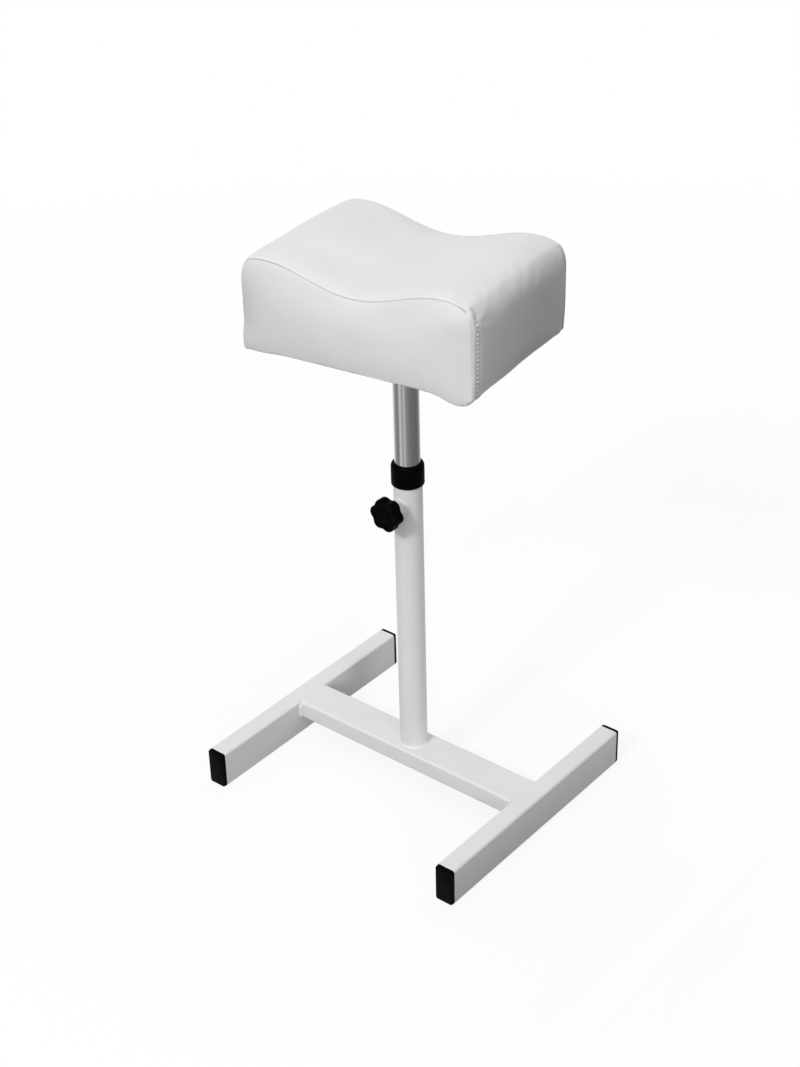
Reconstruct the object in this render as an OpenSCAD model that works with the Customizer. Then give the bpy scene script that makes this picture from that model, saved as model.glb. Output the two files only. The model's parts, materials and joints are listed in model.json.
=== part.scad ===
// Height-adjustable pedicure footrest: a saddle-topped pad on a chromed tube,
// which slides and turns in a painted post on a welded H-shaped base.
// Millimetres, +Z up, origin on the floor under the middle of the base.

/* [Base frame] */
// Length of each side rail's tube, without its end plugs
rail_len = 272; // [220:4:360]
// Clear distance between the two side rails
cross_len = 275; // [220:5:360]
// Long side of the rectangular tube
tube_tall = 40; // [38:1:50]
// Short side of the rectangular tube
tube_thin = 20; // [18:1:30]
// Wall of the rectangular tube
tube_wall = 1.5; // [1:0.1:2]
// Outside corner radius of the rectangular tube
tube_corner_r = 2.5; // [2.2:0.1:3]
// Leg length of the fillet welds on the base
base_weld_leg = 3; // [2:0.5:3]
// Leg length of the fillet weld round the post's foot
post_weld_leg = 2; // [1:0.5:3]

/* [End plugs] */
// Thickness of the plug's outer face
plug_face_t = 3; // [2:0.5:4]
// Chamfer round the plug's outer face
plug_chamfer = 0.7; // [0.3:0.1:1]
// How far the plug reaches into the tube
plug_reach = 16; // [10:1:24]
// Wall of the plug's hollow core
plug_core_wall = 1.5; // [1:0.1:2]
// Height of the soft fins round the core
plug_fin_h = 1.6; // [1:0.1:2]
// Thickness of one fin
plug_fin_t = 0.9; // [0.6:0.1:1.2]

/* [Post] */
// Outside diameter of the painted post
post_d = 28; // [27.5:0.5:32]
// Wall of the painted post
post_wall = 1.2; // [1:0.1:1.4]
// Length of the painted post
post_len = 320; // [300:5:400]

/* [Collar] */
// Wall of the collar round the post
collar_wall = 2; // [1.6:0.2:3]
// Overall height of the collar
collar_h = 23; // [16:1:28]
// Thickness of the lip that lies on the post's end
collar_lip_t = 6; // [5:0.5:7]
// Width of the rounding over the collar's top
collar_round_w = 3; // [1.5:0.5:3]
// Height of the rounding over the collar's top
collar_round_h = 5; // [2:0.5:5]

/* [Clamp] */
// Distance from the post's top end down to the clamp screw
clamp_drop = 37; // [34:1:60]
// Outside diameter of the clamp screw
stud_d = 8; // [6:1:8]
// Diameter of the threaded boss on the post
boss_d = 16; // [14:1:18]
// How far the boss stands out from the post
boss_reach = 9; // [7:1:14]
// Leg length of the weld round the boss
boss_weld_leg = 2; // [1.5:0.5:3]
// Diameter over the knob's lobes
knob_d = 35; // [32:1:44]
// Thickness of the knob's head
knob_t = 12; // [11:1:18]
// Number of lobes on the knob
knob_lobes = 6; // [5:1:8]
// Diameter of the knob's neck
knob_neck_d = 15; // [13:1:17]
// Length of the knob's neck
knob_neck_len = 2; // [1:0.5:5]
// Gap between the boss and the neck when the knob is tight
knob_gap = 1.2; // [0.8:0.2:3]
// Thickness of the nylon pressure tip
tip_t = 2.6; // [2:0.2:4]

/* [Inner tube] */
// Wall of the chromed tube
inner_wall = 1.2; // [1:0.1:1.5]
// Length of the chromed tube
inner_len = 320; // [280:5:330]
// Length of chromed tube that shows between collar and plate
inner_shown = 125; // [122:1:180]
// Thickness of the guide bush's flange under the tube
bush_flange_t = 4; // [3:0.5:5]
// Length of the bush's spigot inside the tube
bush_spigot_len = 18; // [10:1:30]
// Wall of the bush's spigot
bush_wall = 2.2; // [1.5:0.1:3]

/* [Mounting plate] */
// Length of the plate under the pad
plate_len = 110; // [100:2:130]
// Width of the plate under the pad
plate_wid = 80; // [74:2:100]
// Thickness of the plate
plate_t = 3; // [2:0.5:5]
// Corner radius of the plate
plate_corner_r = 8; // [4:1:12]
// Distance from the plate's edges to its screw holes
plate_hole_inset = 10; // [8:1:12]
// Leg length of the weld between tube and plate
plate_weld_leg = 3; // [2:0.5:4]

/* [Pad fasteners] */
// Diameter of the pad screws
screw_d = 6; // [5:0.5:6]
// How far the pad screws end below the top of the board
screw_short = 0.7; // [0.5:0.1:3]
// Diameter of the screw heads
screw_head_d = 10.5; // [10:0.5:11.5]
// Height of the screw heads
screw_head_h = 3.3; // [3:0.1:4]
// Diameter of the washers
washer_d = 12.5; // [12:0.5:14]
// Thickness of the washers
washer_t = 1.2; // [1:0.1:1.6]
// Diameter of the tee nuts' flanges
teenut_d = 19; // [16:1:22]
// Thickness of the tee nuts' flanges
teenut_t = 1.3; // [1:0.1:1.6]
// Wall of the tee nuts' barrels
teenut_wall = 1; // [0.8:0.1:1.4]
// Length of the tee nuts' barrels under the flange
teenut_len = 8; // [6:0.5:9]

/* [Pad] */
// Overall length of the pad, across the foot
pad_len = 238; // [220:2:300]
// Overall width of the pad, along the foot
pad_wid = 178; // [162:4:218]
// Height of the two humps
hump_h = 91.5; // [85:0.5:110]
// Height of the valley between them
valley_h = 73.5; // [66:0.5:80]
// Length of the rounding over each end
end_round_len = 29; // [22:1:34]
// Height of the rounding over each end
end_round_h = 25; // [18:1:32]
// Radius round the pad's bottom edges
bottom_r = 5; // [4.5:0.5:6.5]
// Thickness of the leathercloth
skin_t = 1.2; // [0.8:0.1:1.4]
// Thickness of the plywood board
board_t = 12; // [12:0.5:16]
// Width of the hem folded under the board
hem_wid = 22; // [16:1:28]
// How far the side panels swell past their seams
panel_swell = 3.5; // [3:0.5:6]
// How far the seams lie under the top
seam_drop = 1.8; // [1.2:0.2:2.4]
// Width of the rounding between the top and the seams
seam_round = 8; // [7:0.5:10]
// Rise of the top in the middle of its width
top_crown = 0.8; // [0:0.2:3]
// How far the end walls draw in at mid height
end_draw = 1; // [0:0.2:1.6]
// Turn of the pad on the post, in degrees, as it stands at rest
pad_turn = 8; // [0:1:15]

/* [Underside] */
// Thickness of the dust cover
dust_t = 0.5; // [0.4:0.1:0.6]
// How far the dust cover laps over the hem
dust_lap = 12; // [8:1:14]
// Width of one staple
staple_wid = 10; // [8:0.5:12]
// Length of the staple legs
staple_leg = 8; // [6:0.5:10]
// Width of the staple wire
staple_wire = 1.2; // [1:0.1:1.4]
// Staples along each long side
staples_long = 7; // [4:1:9]
// Staples along each short side
staples_short = 5; // [3:1:6]

/* [Hidden] */
$fn = 64;

// Clearances
fixed_gap = 0.05;     // round faces of fixed pieces
running_gap = 0.1;    // faces that turn or slide on each other
tube_play = 0.3;      // chromed tube in the post's bore
soft_gap = 0.3;       // cloth, foam and board
seam_gap = 0.4;       // between the edges of two sewn panels
cut = 1;              // overrun of every cut

// Base
cross_low_z = tube_tall - tube_thin;
rail_x = (cross_len + tube_thin) / 2;
bore_tall = tube_tall - 2 * tube_wall;
bore_thin = tube_thin - 2 * tube_wall;
bore_corner_r = tube_corner_r - tube_wall;

// Post and collar
post_r = post_d / 2;
post_bore_r = post_r - post_wall;
post_top_z = tube_tall + post_len;
collar_r = post_r + collar_wall;
collar_top_z = post_top_z + collar_lip_t;
collar_foot_r = collar_wall / 2;
collar_steps = 10;
inner_r = post_bore_r - tube_play;
inner_bore_r = inner_r - inner_wall;

// Clamp: distances out from the post's axis, along -Y
clamp_z = post_top_z - clamp_drop;
stud_r = stud_d / 2;
boss_r = boss_d / 2;
boss_out = post_r + boss_reach;
tip_in = inner_r + fixed_gap;
tip_r = stud_r * 0.8;
tip_spigot_r = stud_r * 0.35;
tip_spigot_len = stud_r * 0.7;
stud_in = tip_in + tip_t + running_gap;
knob_in = boss_out + knob_gap;
knob_head_in = knob_in + knob_neck_len;
stud_head_r = stud_d * 0.92;
stud_head_t = stud_d * 0.66;
stud_head_in = knob_head_in + knob_t * 0.2;
knob_lobe_r = knob_d * 0.22;
knob_lobe_at = knob_d / 2 - knob_lobe_r;
knob_notch_r = knob_d * 0.16;
knob_half_step = 180 / knob_lobes;
knob_notch_at = knob_lobe_at * cos(knob_half_step)
    + sqrt(pow(knob_lobe_r + knob_notch_r, 2) - pow(knob_lobe_at * sin(knob_half_step), 2));
knob_rest_turn = -6;
knob_edge_r = knob_t * 0.2;

// Inner tube and plate
plate_low_z = collar_top_z + inner_shown;
plate_top_z = plate_low_z + plate_t;
inner_low_z = plate_low_z - inner_len;
plate_hole_x = plate_len / 2 - plate_hole_inset;
plate_hole_y = plate_wid / 2 - plate_hole_inset;
plate_hole_r = screw_d * 0.55;

// Pad: heights above the bottom of its skin
pad_z = plate_top_z + dust_t - skin_t;
board_low = skin_t;
board_top = board_low + board_t;
half_len = pad_len / 2;
seam_y = pad_wid / 2 - panel_swell;
hump_x = half_len - end_round_len;
wave_rise = (hump_h - valley_h) / 2;
wall_top = hump_h - end_round_h;
foam_inset = skin_t + soft_gap;
panel_inset = skin_t + seam_gap + seam_drop;
board_x = half_len - foam_inset - end_draw;
board_y = seam_y - foam_inset;
window_x = half_len - hem_wid - soft_gap;
window_y = seam_y - hem_wid - soft_gap;

// Fasteners
teenut_barrel_r = screw_d / 2 + fixed_gap + teenut_wall;
screw_head_low = -washer_t - screw_head_h;
screw_top = plate_t + dust_t + board_t - screw_short;
socket_share = 0.38;
socket_depth = screw_head_h * 0.6;

// Steps along the pad's curves, and shares of its rows
wave_steps = 7;
round_steps = 5;
wall_steps = 3;
corner_steps = 3;
swell_power = 5;
edge_shares = [0, 0.06, 0.22, 0.6, 1];
row_shares = [0, 0.03, 0.1, 0.25, 0.45, 0.65, 0.82, 0.93, 0.98, 1];
// Outline and swell of the foam's cheeks, ring by ring
cheek_shares = [[1, 0.03], [0.99, 0.14], [0.972, 0.26], [0.93, 0.43], [0.86, 0.6]];

// Helpers
module rounded_rect(w, h, r) {
    square([w - 2 * r, h], center = true);
    square([w, h - 2 * r], center = true);
    for (sx = [-1, 1], sy = [-1, 1]) translate([sx * (w / 2 - r), sy * (h / 2 - r)]) circle(r = r);
}

module tube_section(w, h) {
    difference() {
        rounded_rect(w, h, tube_corner_r);
        rounded_rect(w - 2 * tube_wall, h - 2 * tube_wall, bore_corner_r);
    }
}

// A quarter-round weld bead in the corner at the origin, standing up from z = 0
module corner_bead(leg, h) {
    intersection() {
        cylinder(r = leg, h = h);
        cube([leg, leg, h]);
    }
}

// A ring-shaped weld bead round a tube of radius r, on the plane z = 0
module ring_bead(r, leg) {
    rotate_extrude() translate([r + fixed_gap, 0]) intersection() {
        circle(r = leg);
        square(leg);
    }
}

// Base frame
module rail(side) {
    translate([side * rail_x, rail_len / 2, tube_tall / 2]) rotate([90, 0, 0])
        linear_extrude(rail_len) tube_section(tube_thin, tube_tall);
}

module left_rail() { color("white") rail(-1); }

module right_rail() { color("white") rail(1); }

module cross_bar() {
    color("white") translate([-cross_len / 2, 0, tube_tall - tube_thin / 2])
        rotate([90, 0, 90]) linear_extrude(cross_len) tube_section(tube_tall, tube_thin);
}

// The corner between two faces at the origin, outside a quarter round of radius r
module corner_shape(r) {
    difference() {
        square(r);
        translate([r, r]) circle(r = r);
    }
}

// Weld that fills the groove over the rail's rounded edge, ground flush
module flush_bead() {
    bead_len = tube_tall - 2 * tube_corner_r;
    translate([0, bead_len / 2, 0]) rotate([90, 180, 0]) linear_extrude(bead_len)
        corner_shape(tube_corner_r);
}

module rail_weld_beads() {
    side_h = tube_thin - 2 * tube_corner_r;
    color("whitesmoke") for (sx = [0, 1]) mirror([sx, 0, 0]) translate([-cross_len / 2, 0, 0]) {
        translate([0, 0, tube_tall]) flush_bead();
        for (sy = [0, 1]) mirror([0, sy, 0])
            translate([0, tube_tall / 2, cross_low_z + tube_corner_r])
                corner_bead(base_weld_leg, side_h);
        translate([0, -tube_tall / 2 + tube_corner_r, cross_low_z]) rotate([-90, 0, 0])
            corner_bead(base_weld_leg, tube_tall - 2 * tube_corner_r);
    }
}

// End plugs: hollow core with fins, pushed into the rail's bore
module plug_fin(at) {
    translate([0, 0, at]) linear_extrude(plug_fin_t) difference() {
        rounded_rect(bore_thin - 2 * running_gap, bore_tall - 2 * running_gap, bore_corner_r);
        square([bore_thin - 2 * plug_fin_h - 2 * plug_core_wall,
            bore_tall - 2 * plug_fin_h - 2 * plug_core_wall], center = true);
    }
}

module end_plug(sx, sy) {
    core_w = bore_thin - 2 * plug_fin_h;
    core_h = bore_tall - 2 * plug_fin_h;
    fin_step = plug_reach / 4;
    color("black") translate([sx * rail_x, sy * rail_len / 2, tube_tall / 2])
        rotate([sy * 90, 0, 0]) {
            mirror([0, 0, 1]) {
                linear_extrude(plug_face_t - plug_chamfer)
                    rounded_rect(tube_thin, tube_tall, tube_corner_r);
                translate([0, 0, plug_face_t - plug_chamfer]) linear_extrude(plug_chamfer)
                    rounded_rect(tube_thin - plug_chamfer, tube_tall - plug_chamfer,
                        tube_corner_r - plug_chamfer / 2);
            }
            linear_extrude(plug_reach) difference() {
                square([core_w, core_h], center = true);
                square([core_w - 2 * plug_core_wall, core_h - 2 * plug_core_wall], center = true);
            }
            for (i = [1:3]) plug_fin(i * fin_step);
        }
}

module end_plug_front_left() { end_plug(-1, -1); }

module end_plug_front_right() { end_plug(1, -1); }

module end_plug_rear_left() { end_plug(-1, 1); }

module end_plug_rear_right() { end_plug(1, 1); }

// Post
module at_clamp() {
    translate([0, 0, clamp_z]) rotate([90, 0, 0]) children();
}

module outer_post() {
    color("white") difference() {
        translate([0, 0, tube_tall]) cylinder(r = post_r, h = post_len);
        translate([0, 0, tube_tall - cut]) cylinder(r = post_bore_r, h = post_len + 2 * cut);
        at_clamp() cylinder(r = stud_r + soft_gap, h = post_r + cut);
    }
}

module post_weld_bead() {
    color("whitesmoke") translate([0, 0, tube_tall]) ring_bead(post_r, post_weld_leg);
}

// Quarter ellipse over the collar's top, from its centre
collar_round = concat([[0, 0]], [for (i = [0:collar_steps]) let (a = 90 * i / collar_steps)
    [collar_round_w * cos(a), collar_round_h * sin(a)]]);

module post_collar() {
    color("black") translate([0, 0, collar_top_z - collar_h]) rotate_extrude() difference() {
        union() {
            square([collar_r - collar_foot_r, collar_foot_r]);
            translate([collar_r - collar_foot_r, collar_foot_r]) circle(r = collar_foot_r);
            translate([0, collar_foot_r])
                square([collar_r, collar_h - collar_round_h - collar_foot_r]);
            square([collar_r - collar_round_w, collar_h]);
            translate([collar_r - collar_round_w, collar_h - collar_round_h])
                polygon(collar_round);
        }
        square([inner_r + running_gap, collar_h]);
        square([post_r + fixed_gap, collar_h - collar_lip_t]);
    }
}

// Clamp
module clamp_boss() {
    color("white") difference() {
        at_clamp() cylinder(r = boss_r, h = boss_out);
        at_clamp() cylinder(r = stud_r + fixed_gap, h = boss_out + cut);
        translate([0, 0, clamp_z - boss_r - cut])
            cylinder(r = post_r + fixed_gap, h = boss_d + 2 * cut);
    }
}

module boss_weld_bead() {
    foot = post_r * 0.8;
    lean = post_r + boss_weld_leg - foot;
    color("whitesmoke") difference() {
        at_clamp() translate([0, 0, foot])
            cylinder(r1 = boss_r + lean, r2 = boss_r, h = lean);
        at_clamp() cylinder(r = boss_r + fixed_gap, h = boss_out + cut);
        translate([0, 0, clamp_z - 2 * boss_d]) cylinder(r = post_r + fixed_gap, h = 4 * boss_d);
    }
}

module clamp_tip() {
    color("ivory") at_clamp() translate([0, 0, tip_in]) {
        cylinder(r = tip_r, h = tip_t);
        cylinder(r = tip_spigot_r, h = tip_t + tip_spigot_len);
    }
}

module stud_solid(grow) {
    translate([0, 0, stud_in]) cylinder(r = stud_r + grow, h = stud_head_in - stud_in + cut);
    translate([0, 0, stud_head_in]) cylinder(r = stud_head_r + grow, h = stud_head_t, $fn = 6);
}

module clamp_stud() {
    color("silver") at_clamp() difference() {
        stud_solid(0);
        translate([0, 0, stud_in - cut])
            cylinder(r = tip_spigot_r + running_gap, h = tip_spigot_len + running_gap + cut);
    }
}

// Star outline: round lobes and round hollows that meet at a tangent. The polygon's corners
// are the middles of the lobes and of the hollows.
module knob_star() {
    difference() {
        union() {
            polygon([for (i = [0:2 * knob_lobes - 1])
                let (a = i * knob_half_step, out = i % 2 == 0 ? knob_lobe_at : knob_notch_at)
                [out * cos(a), out * sin(a)]]);
            for (i = [0:knob_lobes - 1]) rotate(2 * i * knob_half_step)
                translate([knob_lobe_at, 0]) circle(r = knob_lobe_r);
        }
        for (i = [0:knob_lobes - 1]) rotate((2 * i + 1) * knob_half_step)
            translate([knob_notch_at, 0]) circle(r = knob_notch_r);
    }
}

module star_knob() {
    color("black") at_clamp() difference() {
        union() {
            translate([0, 0, knob_in])
                cylinder(r = knob_neck_d / 2, h = knob_neck_len + knob_t / 2);
            translate([0, 0, knob_head_in]) intersection() {
                linear_extrude(knob_t) rotate(knob_rest_turn) knob_star();
                rotate_extrude() intersection() {
                    translate([0, knob_t / 2]) rounded_rect(knob_d, knob_t, knob_edge_r);
                    square([knob_d, knob_t]);
                }
            }
        }
        stud_solid(fixed_gap);
    }
}

// Inner tube
module inner_tube() {
    color("silver") translate([0, 0, inner_low_z]) difference() {
        cylinder(r = inner_r, h = inner_len);
        translate([0, 0, -cut]) cylinder(r = inner_bore_r, h = inner_len + 2 * cut);
    }
}

module guide_bush() {
    spigot_r = inner_bore_r - running_gap;
    color("dimgray") translate([0, 0, inner_low_z - running_gap]) difference() {
        union() {
            translate([0, 0, -bush_flange_t])
                cylinder(r = post_bore_r - running_gap, h = bush_flange_t);
            translate([0, 0, -bush_flange_t])
                cylinder(r = spigot_r, h = bush_flange_t + bush_spigot_len);
        }
        translate([0, 0, -bush_flange_t - cut])
            cylinder(r = spigot_r - bush_wall, h = bush_flange_t + bush_spigot_len + 2 * cut);
    }
}

// Everything under and in the pad turns with it
module at_pad(z) {
    rotate([0, 0, pad_turn]) translate([0, 0, z]) children();
}

module at_plate_holes() {
    for (sx = [-1, 1], sy = [-1, 1]) translate([sx * plate_hole_x, sy * plate_hole_y, 0])
        children();
}

module top_plate() {
    color("white") at_pad(plate_low_z) difference() {
        linear_extrude(plate_t) rounded_rect(plate_len, plate_wid, plate_corner_r);
        at_plate_holes() translate([0, 0, -cut])
            cylinder(r = plate_hole_r, h = plate_t + 2 * cut);
    }
}

module plate_weld_bead() {
    color("silver") translate([0, 0, plate_low_z]) mirror([0, 0, 1])
        ring_bead(inner_r, plate_weld_leg);
}

// Fasteners of the pad
module pad_screw() {
    head_r = screw_head_d / 2;
    dome_r = (head_r * head_r + screw_head_h * screw_head_h) / (2 * screw_head_h);
    difference() {
        union() {
            intersection() {
                translate([0, 0, screw_head_low]) cylinder(r = head_r, h = screw_head_h);
                translate([0, 0, screw_head_low + dome_r]) sphere(r = dome_r);
            }
            translate([0, 0, -washer_t - screw_head_h / 2])
                cylinder(r = screw_d / 2, h = screw_top + washer_t + screw_head_h / 2);
        }
        translate([0, 0, screw_head_low - cut])
            cylinder(r = head_r * socket_share, h = socket_depth + cut, $fn = 6);
    }
}

module pad_screws() {
    color("silver") at_pad(plate_low_z) at_plate_holes() pad_screw();
}

module pad_washers() {
    color("silver") at_pad(plate_low_z - washer_t) at_plate_holes() difference() {
        cylinder(r = washer_d / 2, h = washer_t);
        translate([0, 0, -cut]) cylinder(r = plate_hole_r, h = washer_t + 2 * cut);
    }
}

module tee_nuts() {
    color("silver") at_pad(pad_z + board_top) at_plate_holes() difference() {
        union() {
            translate([0, 0, -teenut_t]) cylinder(r = teenut_d / 2, h = teenut_t);
            translate([0, 0, -teenut_t - teenut_len])
                cylinder(r = teenut_barrel_r, h = teenut_len + teenut_t / 2);
        }
        translate([0, 0, -teenut_t - teenut_len - cut])
            cylinder(r = screw_d / 2 + fixed_gap, h = teenut_len + teenut_t + 2 * cut);
    }
}

// Rounds the board's lower edge along one side, at distance out from the middle
module edge_round(out, length) {
    translate([out, length / 2, 0]) rotate([90, 0, 0]) mirror([1, 0]) linear_extrude(length)
        corner_shape(bottom_r);
}

module pad_board() {
    color("burlywood") at_pad(pad_z + board_low) difference() {
        linear_extrude(board_t) rounded_rect(2 * board_x, 2 * board_y, bottom_r);
        for (turn = [0, 180]) rotate([0, 0, turn]) {
            edge_round(board_x, 2 * board_y);
            rotate([0, 0, 90]) edge_round(board_y, 2 * board_x);
        }
        at_plate_holes() {
            translate([0, 0, -cut])
                cylinder(r = teenut_barrel_r + fixed_gap, h = board_t + 2 * cut);
            translate([0, 0, board_t - teenut_t])
                cylinder(r = teenut_d / 2 + fixed_gap, h = teenut_t + cut);
        }
    }
}

// The pad's section is a list of [x, z, outward x, outward z, share of the sink].
// Wave of the top, at a share of the way from the middle to the hump
function wave_point(share) = let (
        slope = wave_rise * sin(180 * share) * PI / hump_x,
        k = norm([slope, 1]))
    [hump_x * share, valley_h + wave_rise * (1 - cos(180 * share)), -slope / k, 1 / k, 1];

// Rounding over the end, from 90 degrees at the hump to 0 at the end wall
function round_point(a) = let (
        nx = cos(a) / end_round_len,
        nz = sin(a) / end_round_h,
        k = norm([nx, nz]))
    [hump_x + end_round_len * cos(a), wall_top + end_round_h * sin(a), nx / k, nz / k, 1];

// How far the end wall is drawn in at height z
function wall_draw(z) = z <= bottom_r || z >= wall_top ? 0
    : end_draw * sin(180 * (z - bottom_r) / (wall_top - bottom_r));

// End wall from its top down to height low
function wall_points(low) = [for (i = [1:wall_steps])
    let (z = wall_top + (low - wall_top) * i / wall_steps) [half_len - wall_draw(z), z, 1, 0, 1]];

function corner_point(share) = let (a = -90 * share)
    [half_len - bottom_r * (1 - cos(a)), bottom_r * (1 + sin(a)), cos(a), sin(a), 1 - share];

top_half = concat([for (i = [0:wave_steps]) wave_point(i / wave_steps)],
    [for (i = [1:round_steps]) round_point(90 - 90 * i / round_steps)]);

function both_halves(half) = concat(
    [for (i = [len(half) - 1:-1:1]) let (p = half[i]) [-p[0], p[1], -p[2], p[3], p[4]]], half);

// How far the top has sunk towards the seam at y, and how far it rises in the middle
function edge_sink(y) = let (t = max(0, 1 - (seam_y - abs(y)) / seam_round))
    seam_drop * (1 - sqrt(1 - t * t));

function crown(y) = top_crown * (1 - pow(y / seam_y, 2));

// The section at y, for a face that lies s under the outside
function section_row(section, y, s) = [for (p = section)
    let (d = s + (edge_sink(y) - crown(y)) * p[4]) [p[0] - p[2] * d, y, p[1] - p[3] * d]];

// Distances of the section's rows from the seam, and their places across the pad
function rows_across(first, edge) = let (ins = concat(first, [hem_wid, seam_y / 2]))
    concat([for (d = ins) d - edge], [0], [for (i = [len(ins) - 1:-1:0]) edge - ins[i]]);

// Faces of a closed sheet between an outer and an inner grid of rows of n points
function sheet_faces(rows, n) = let (all = rows * n) concat(
    [for (j = [0:rows - 2], i = [0:n - 2]) let (a = j * n + i)
        each [[a, a + 1, a + n + 1], [a, a + n + 1, a + n]]],
    [for (j = [0:rows - 2], i = [0:n - 2]) let (a = all + j * n + i)
        each [[a, a + n + 1, a + 1], [a, a + n, a + n + 1]]],
    [for (j = [0:rows - 2]) let (a = j * n, b = all + j * n)
        each [[a, a + n, b + n], [a, b + n, b]]],
    [for (j = [0:rows - 2]) let (a = j * n + n - 1, b = all + j * n + n - 1)
        each [[a, b + n, a + n], [a, b, b + n]]],
    [for (i = [0:n - 2]) let (a = i, b = all + i)
        each [[a, b + 1, a + 1], [a, b, b + 1]]],
    [for (i = [0:n - 2]) let (a = (rows - 1) * n + i, b = all + (rows - 1) * n + i)
        each [[a, a + 1, b + 1], [a, b + 1, b]]]);

module sheet(outer, inner) {
    polyhedron(points = concat([for (r = outer) each r], [for (r = inner) each r]),
        faces = sheet_faces(len(outer), len(outer[0])));
}

// Strip over the top and down both ends. Its hem is mitred against the side panels' hems.
module cover_strip() {
    ys = rows_across([for (t = edge_shares) t * seam_round], seam_y);
    function hem_end(y) = max(bottom_r + seam_gap / 2, min(hem_wid, seam_y - abs(y)));
    function strip_section(y) = both_halves(concat(top_half, wall_points(bottom_r),
        [for (i = [1:corner_steps]) corner_point(i / corner_steps)],
        [[half_len - hem_end(y), 0, 0, -1, 0]]));
    color("white") at_pad(pad_z) sheet(
        [for (y = ys) section_row(strip_section(y), y, 0)],
        [for (y = ys) section_row(strip_section(y), y, skin_t)]);
}

// Top edge of a side panel, just under the strip, as [x, z]
panel_edge = [for (p = both_halves(top_half))
    [p[0] - p[2] * panel_inset, p[1] - p[3] * panel_inset]];
panel_x = half_len - panel_inset;

// How far a side panel swells at the share u of its length and v of its height
function swell(u, v) = panel_swell
    * sqrt(1 - pow(min(1, abs(u)), swell_power)) * sqrt(1 - pow(abs(2 * v - 1), swell_power));

// One row of the panel's face at the share v of its height, s under the outside
function face_row(v, s) = [for (p = panel_edge)
    let (z = bottom_r + (p[1] - bottom_r) * v)
    [p[0] * (panel_x - wall_draw(z)) / panel_x, s - seam_y - swell(p[0] / panel_x, v), z]];

// One row of the panel under the pad: reach is the distance in from the face
function under_row(reach, z) = [for (p = panel_edge)
    [p[0] * (half_len - max(bottom_r, reach) - seam_gap) / panel_x, reach - seam_y, z]];

function panel_grid(s) = concat(
    [under_row(hem_wid, s)],
    [for (a = [90, 45]) under_row(bottom_r - (bottom_r - s) * cos(a),
        bottom_r - (bottom_r - s) * sin(a))],
    [for (v = row_shares) face_row(v, s)]);

module side_panel() { sheet(panel_grid(0), panel_grid(skin_t)); }

module cover_front_panel() { color("white") at_pad(pad_z) side_panel(); }

module cover_rear_panel() { color("white") at_pad(pad_z) rotate([0, 0, 180]) side_panel(); }

// Foam: rings across the pad, and smaller rings that swell out as its two cheeks.
// Each ring ends in the middle of the foam's underside, where the end faces fan out.
foam_section = concat(both_halves(concat(top_half, wall_points(board_top))),
    [[0, board_top, 0, 0, 0]]);

function cheek_ring(side, shares) = [for (p = section_row(foam_section, seam_y, panel_inset - seam_drop))
    [p[0] * shares[0], side * (seam_y - foam_inset + panel_swell * shares[1]),
        board_top + (p[2] - board_top) * shares[0]]];

module pad_foam() {
    ys = rows_across([foam_inset, for (t = edge_shares) if (t * seam_round > foam_inset) t * seam_round],
        seam_y);
    rings = concat(
        [for (i = [len(cheek_shares) - 1:-1:0]) cheek_ring(-1, cheek_shares[i])],
        [for (y = ys) section_row(foam_section, y, foam_inset)],
        [for (c = cheek_shares) cheek_ring(1, c)]);
    n = len(rings[0]);
    last = (len(rings) - 1) * n;
    color("khaki") at_pad(pad_z) polyhedron(
        points = [for (r = rings) each r],
        faces = concat(
            [for (i = [0:n - 3]) [n - 1, i, i + 1]],
            [for (i = [0:n - 3]) [last + n - 1, last + i + 1, last + i]],
            [for (j = [0:len(rings) - 2], i = [0:n - 1])
                let (a = j * n + i, b = j * n + (i + 1) % n)
                each [[a, b + n, b], [a, a + n, b + n]]]));
}

// Underside
module dust_frame(x, y, wall, z, h) {
    translate([0, 0, z]) linear_extrude(h) difference() {
        square([2 * x, 2 * y], center = true);
        square([2 * (x - wall), 2 * (y - wall)], center = true);
    }
}

module dust_cover() {
    color("dimgray") at_pad(pad_z) difference() {
        union() {
            translate([-window_x, -window_y, skin_t - dust_t])
                cube([2 * window_x, 2 * window_y, dust_t]);
            dust_frame(window_x, window_y, dust_t, -dust_t, skin_t + dust_t);
            dust_frame(window_x + dust_lap, window_y + dust_lap, dust_lap + dust_t, -dust_t, dust_t);
        }
        at_plate_holes() translate([0, 0, -cut])
            cylinder(r = plate_hole_r, h = skin_t + 2 * cut);
    }
}

module staple() {
    gauge = staple_wire / 2;
    translate([-staple_wid / 2, -staple_wire / 2, -gauge])
        cube([staple_wid, staple_wire, gauge]);
    for (sx = [0, 1]) mirror([sx, 0, 0])
        translate([staple_wid / 2 - gauge, -staple_wire / 2, -gauge])
            cube([gauge, staple_wire, staple_leg + gauge]);
}

module staples() {
    x = window_x + dust_lap / 2;
    y = window_y + dust_lap / 2;
    step_x = 2 * x / staples_long;
    step_y = 2 * y / staples_short;
    color("gainsboro") at_pad(pad_z - dust_t) {
        for (sy = [-1, 1], i = [0:staples_long - 1])
            translate([(i - (staples_long - 1) / 2) * step_x, sy * y, 0]) staple();
        for (sx = [-1, 1], i = [0:staples_short - 1])
            translate([sx * x, (i - (staples_short - 1) / 2) * step_y, 0])
                rotate([0, 0, 90]) staple();
    }
}

left_rail();
right_rail();
cross_bar();
rail_weld_beads();
end_plug_front_left();
end_plug_front_right();
end_plug_rear_left();
end_plug_rear_right();
outer_post();
post_weld_bead();
post_collar();
clamp_boss();
boss_weld_bead();
clamp_tip();
clamp_stud();
star_knob();
guide_bush();
inner_tube();
top_plate();
plate_weld_bead();
pad_screws();
pad_washers();
tee_nuts();
pad_board();
pad_foam();
cover_strip();
cover_front_panel();
cover_rear_panel();
dust_cover();
staples();
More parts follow.
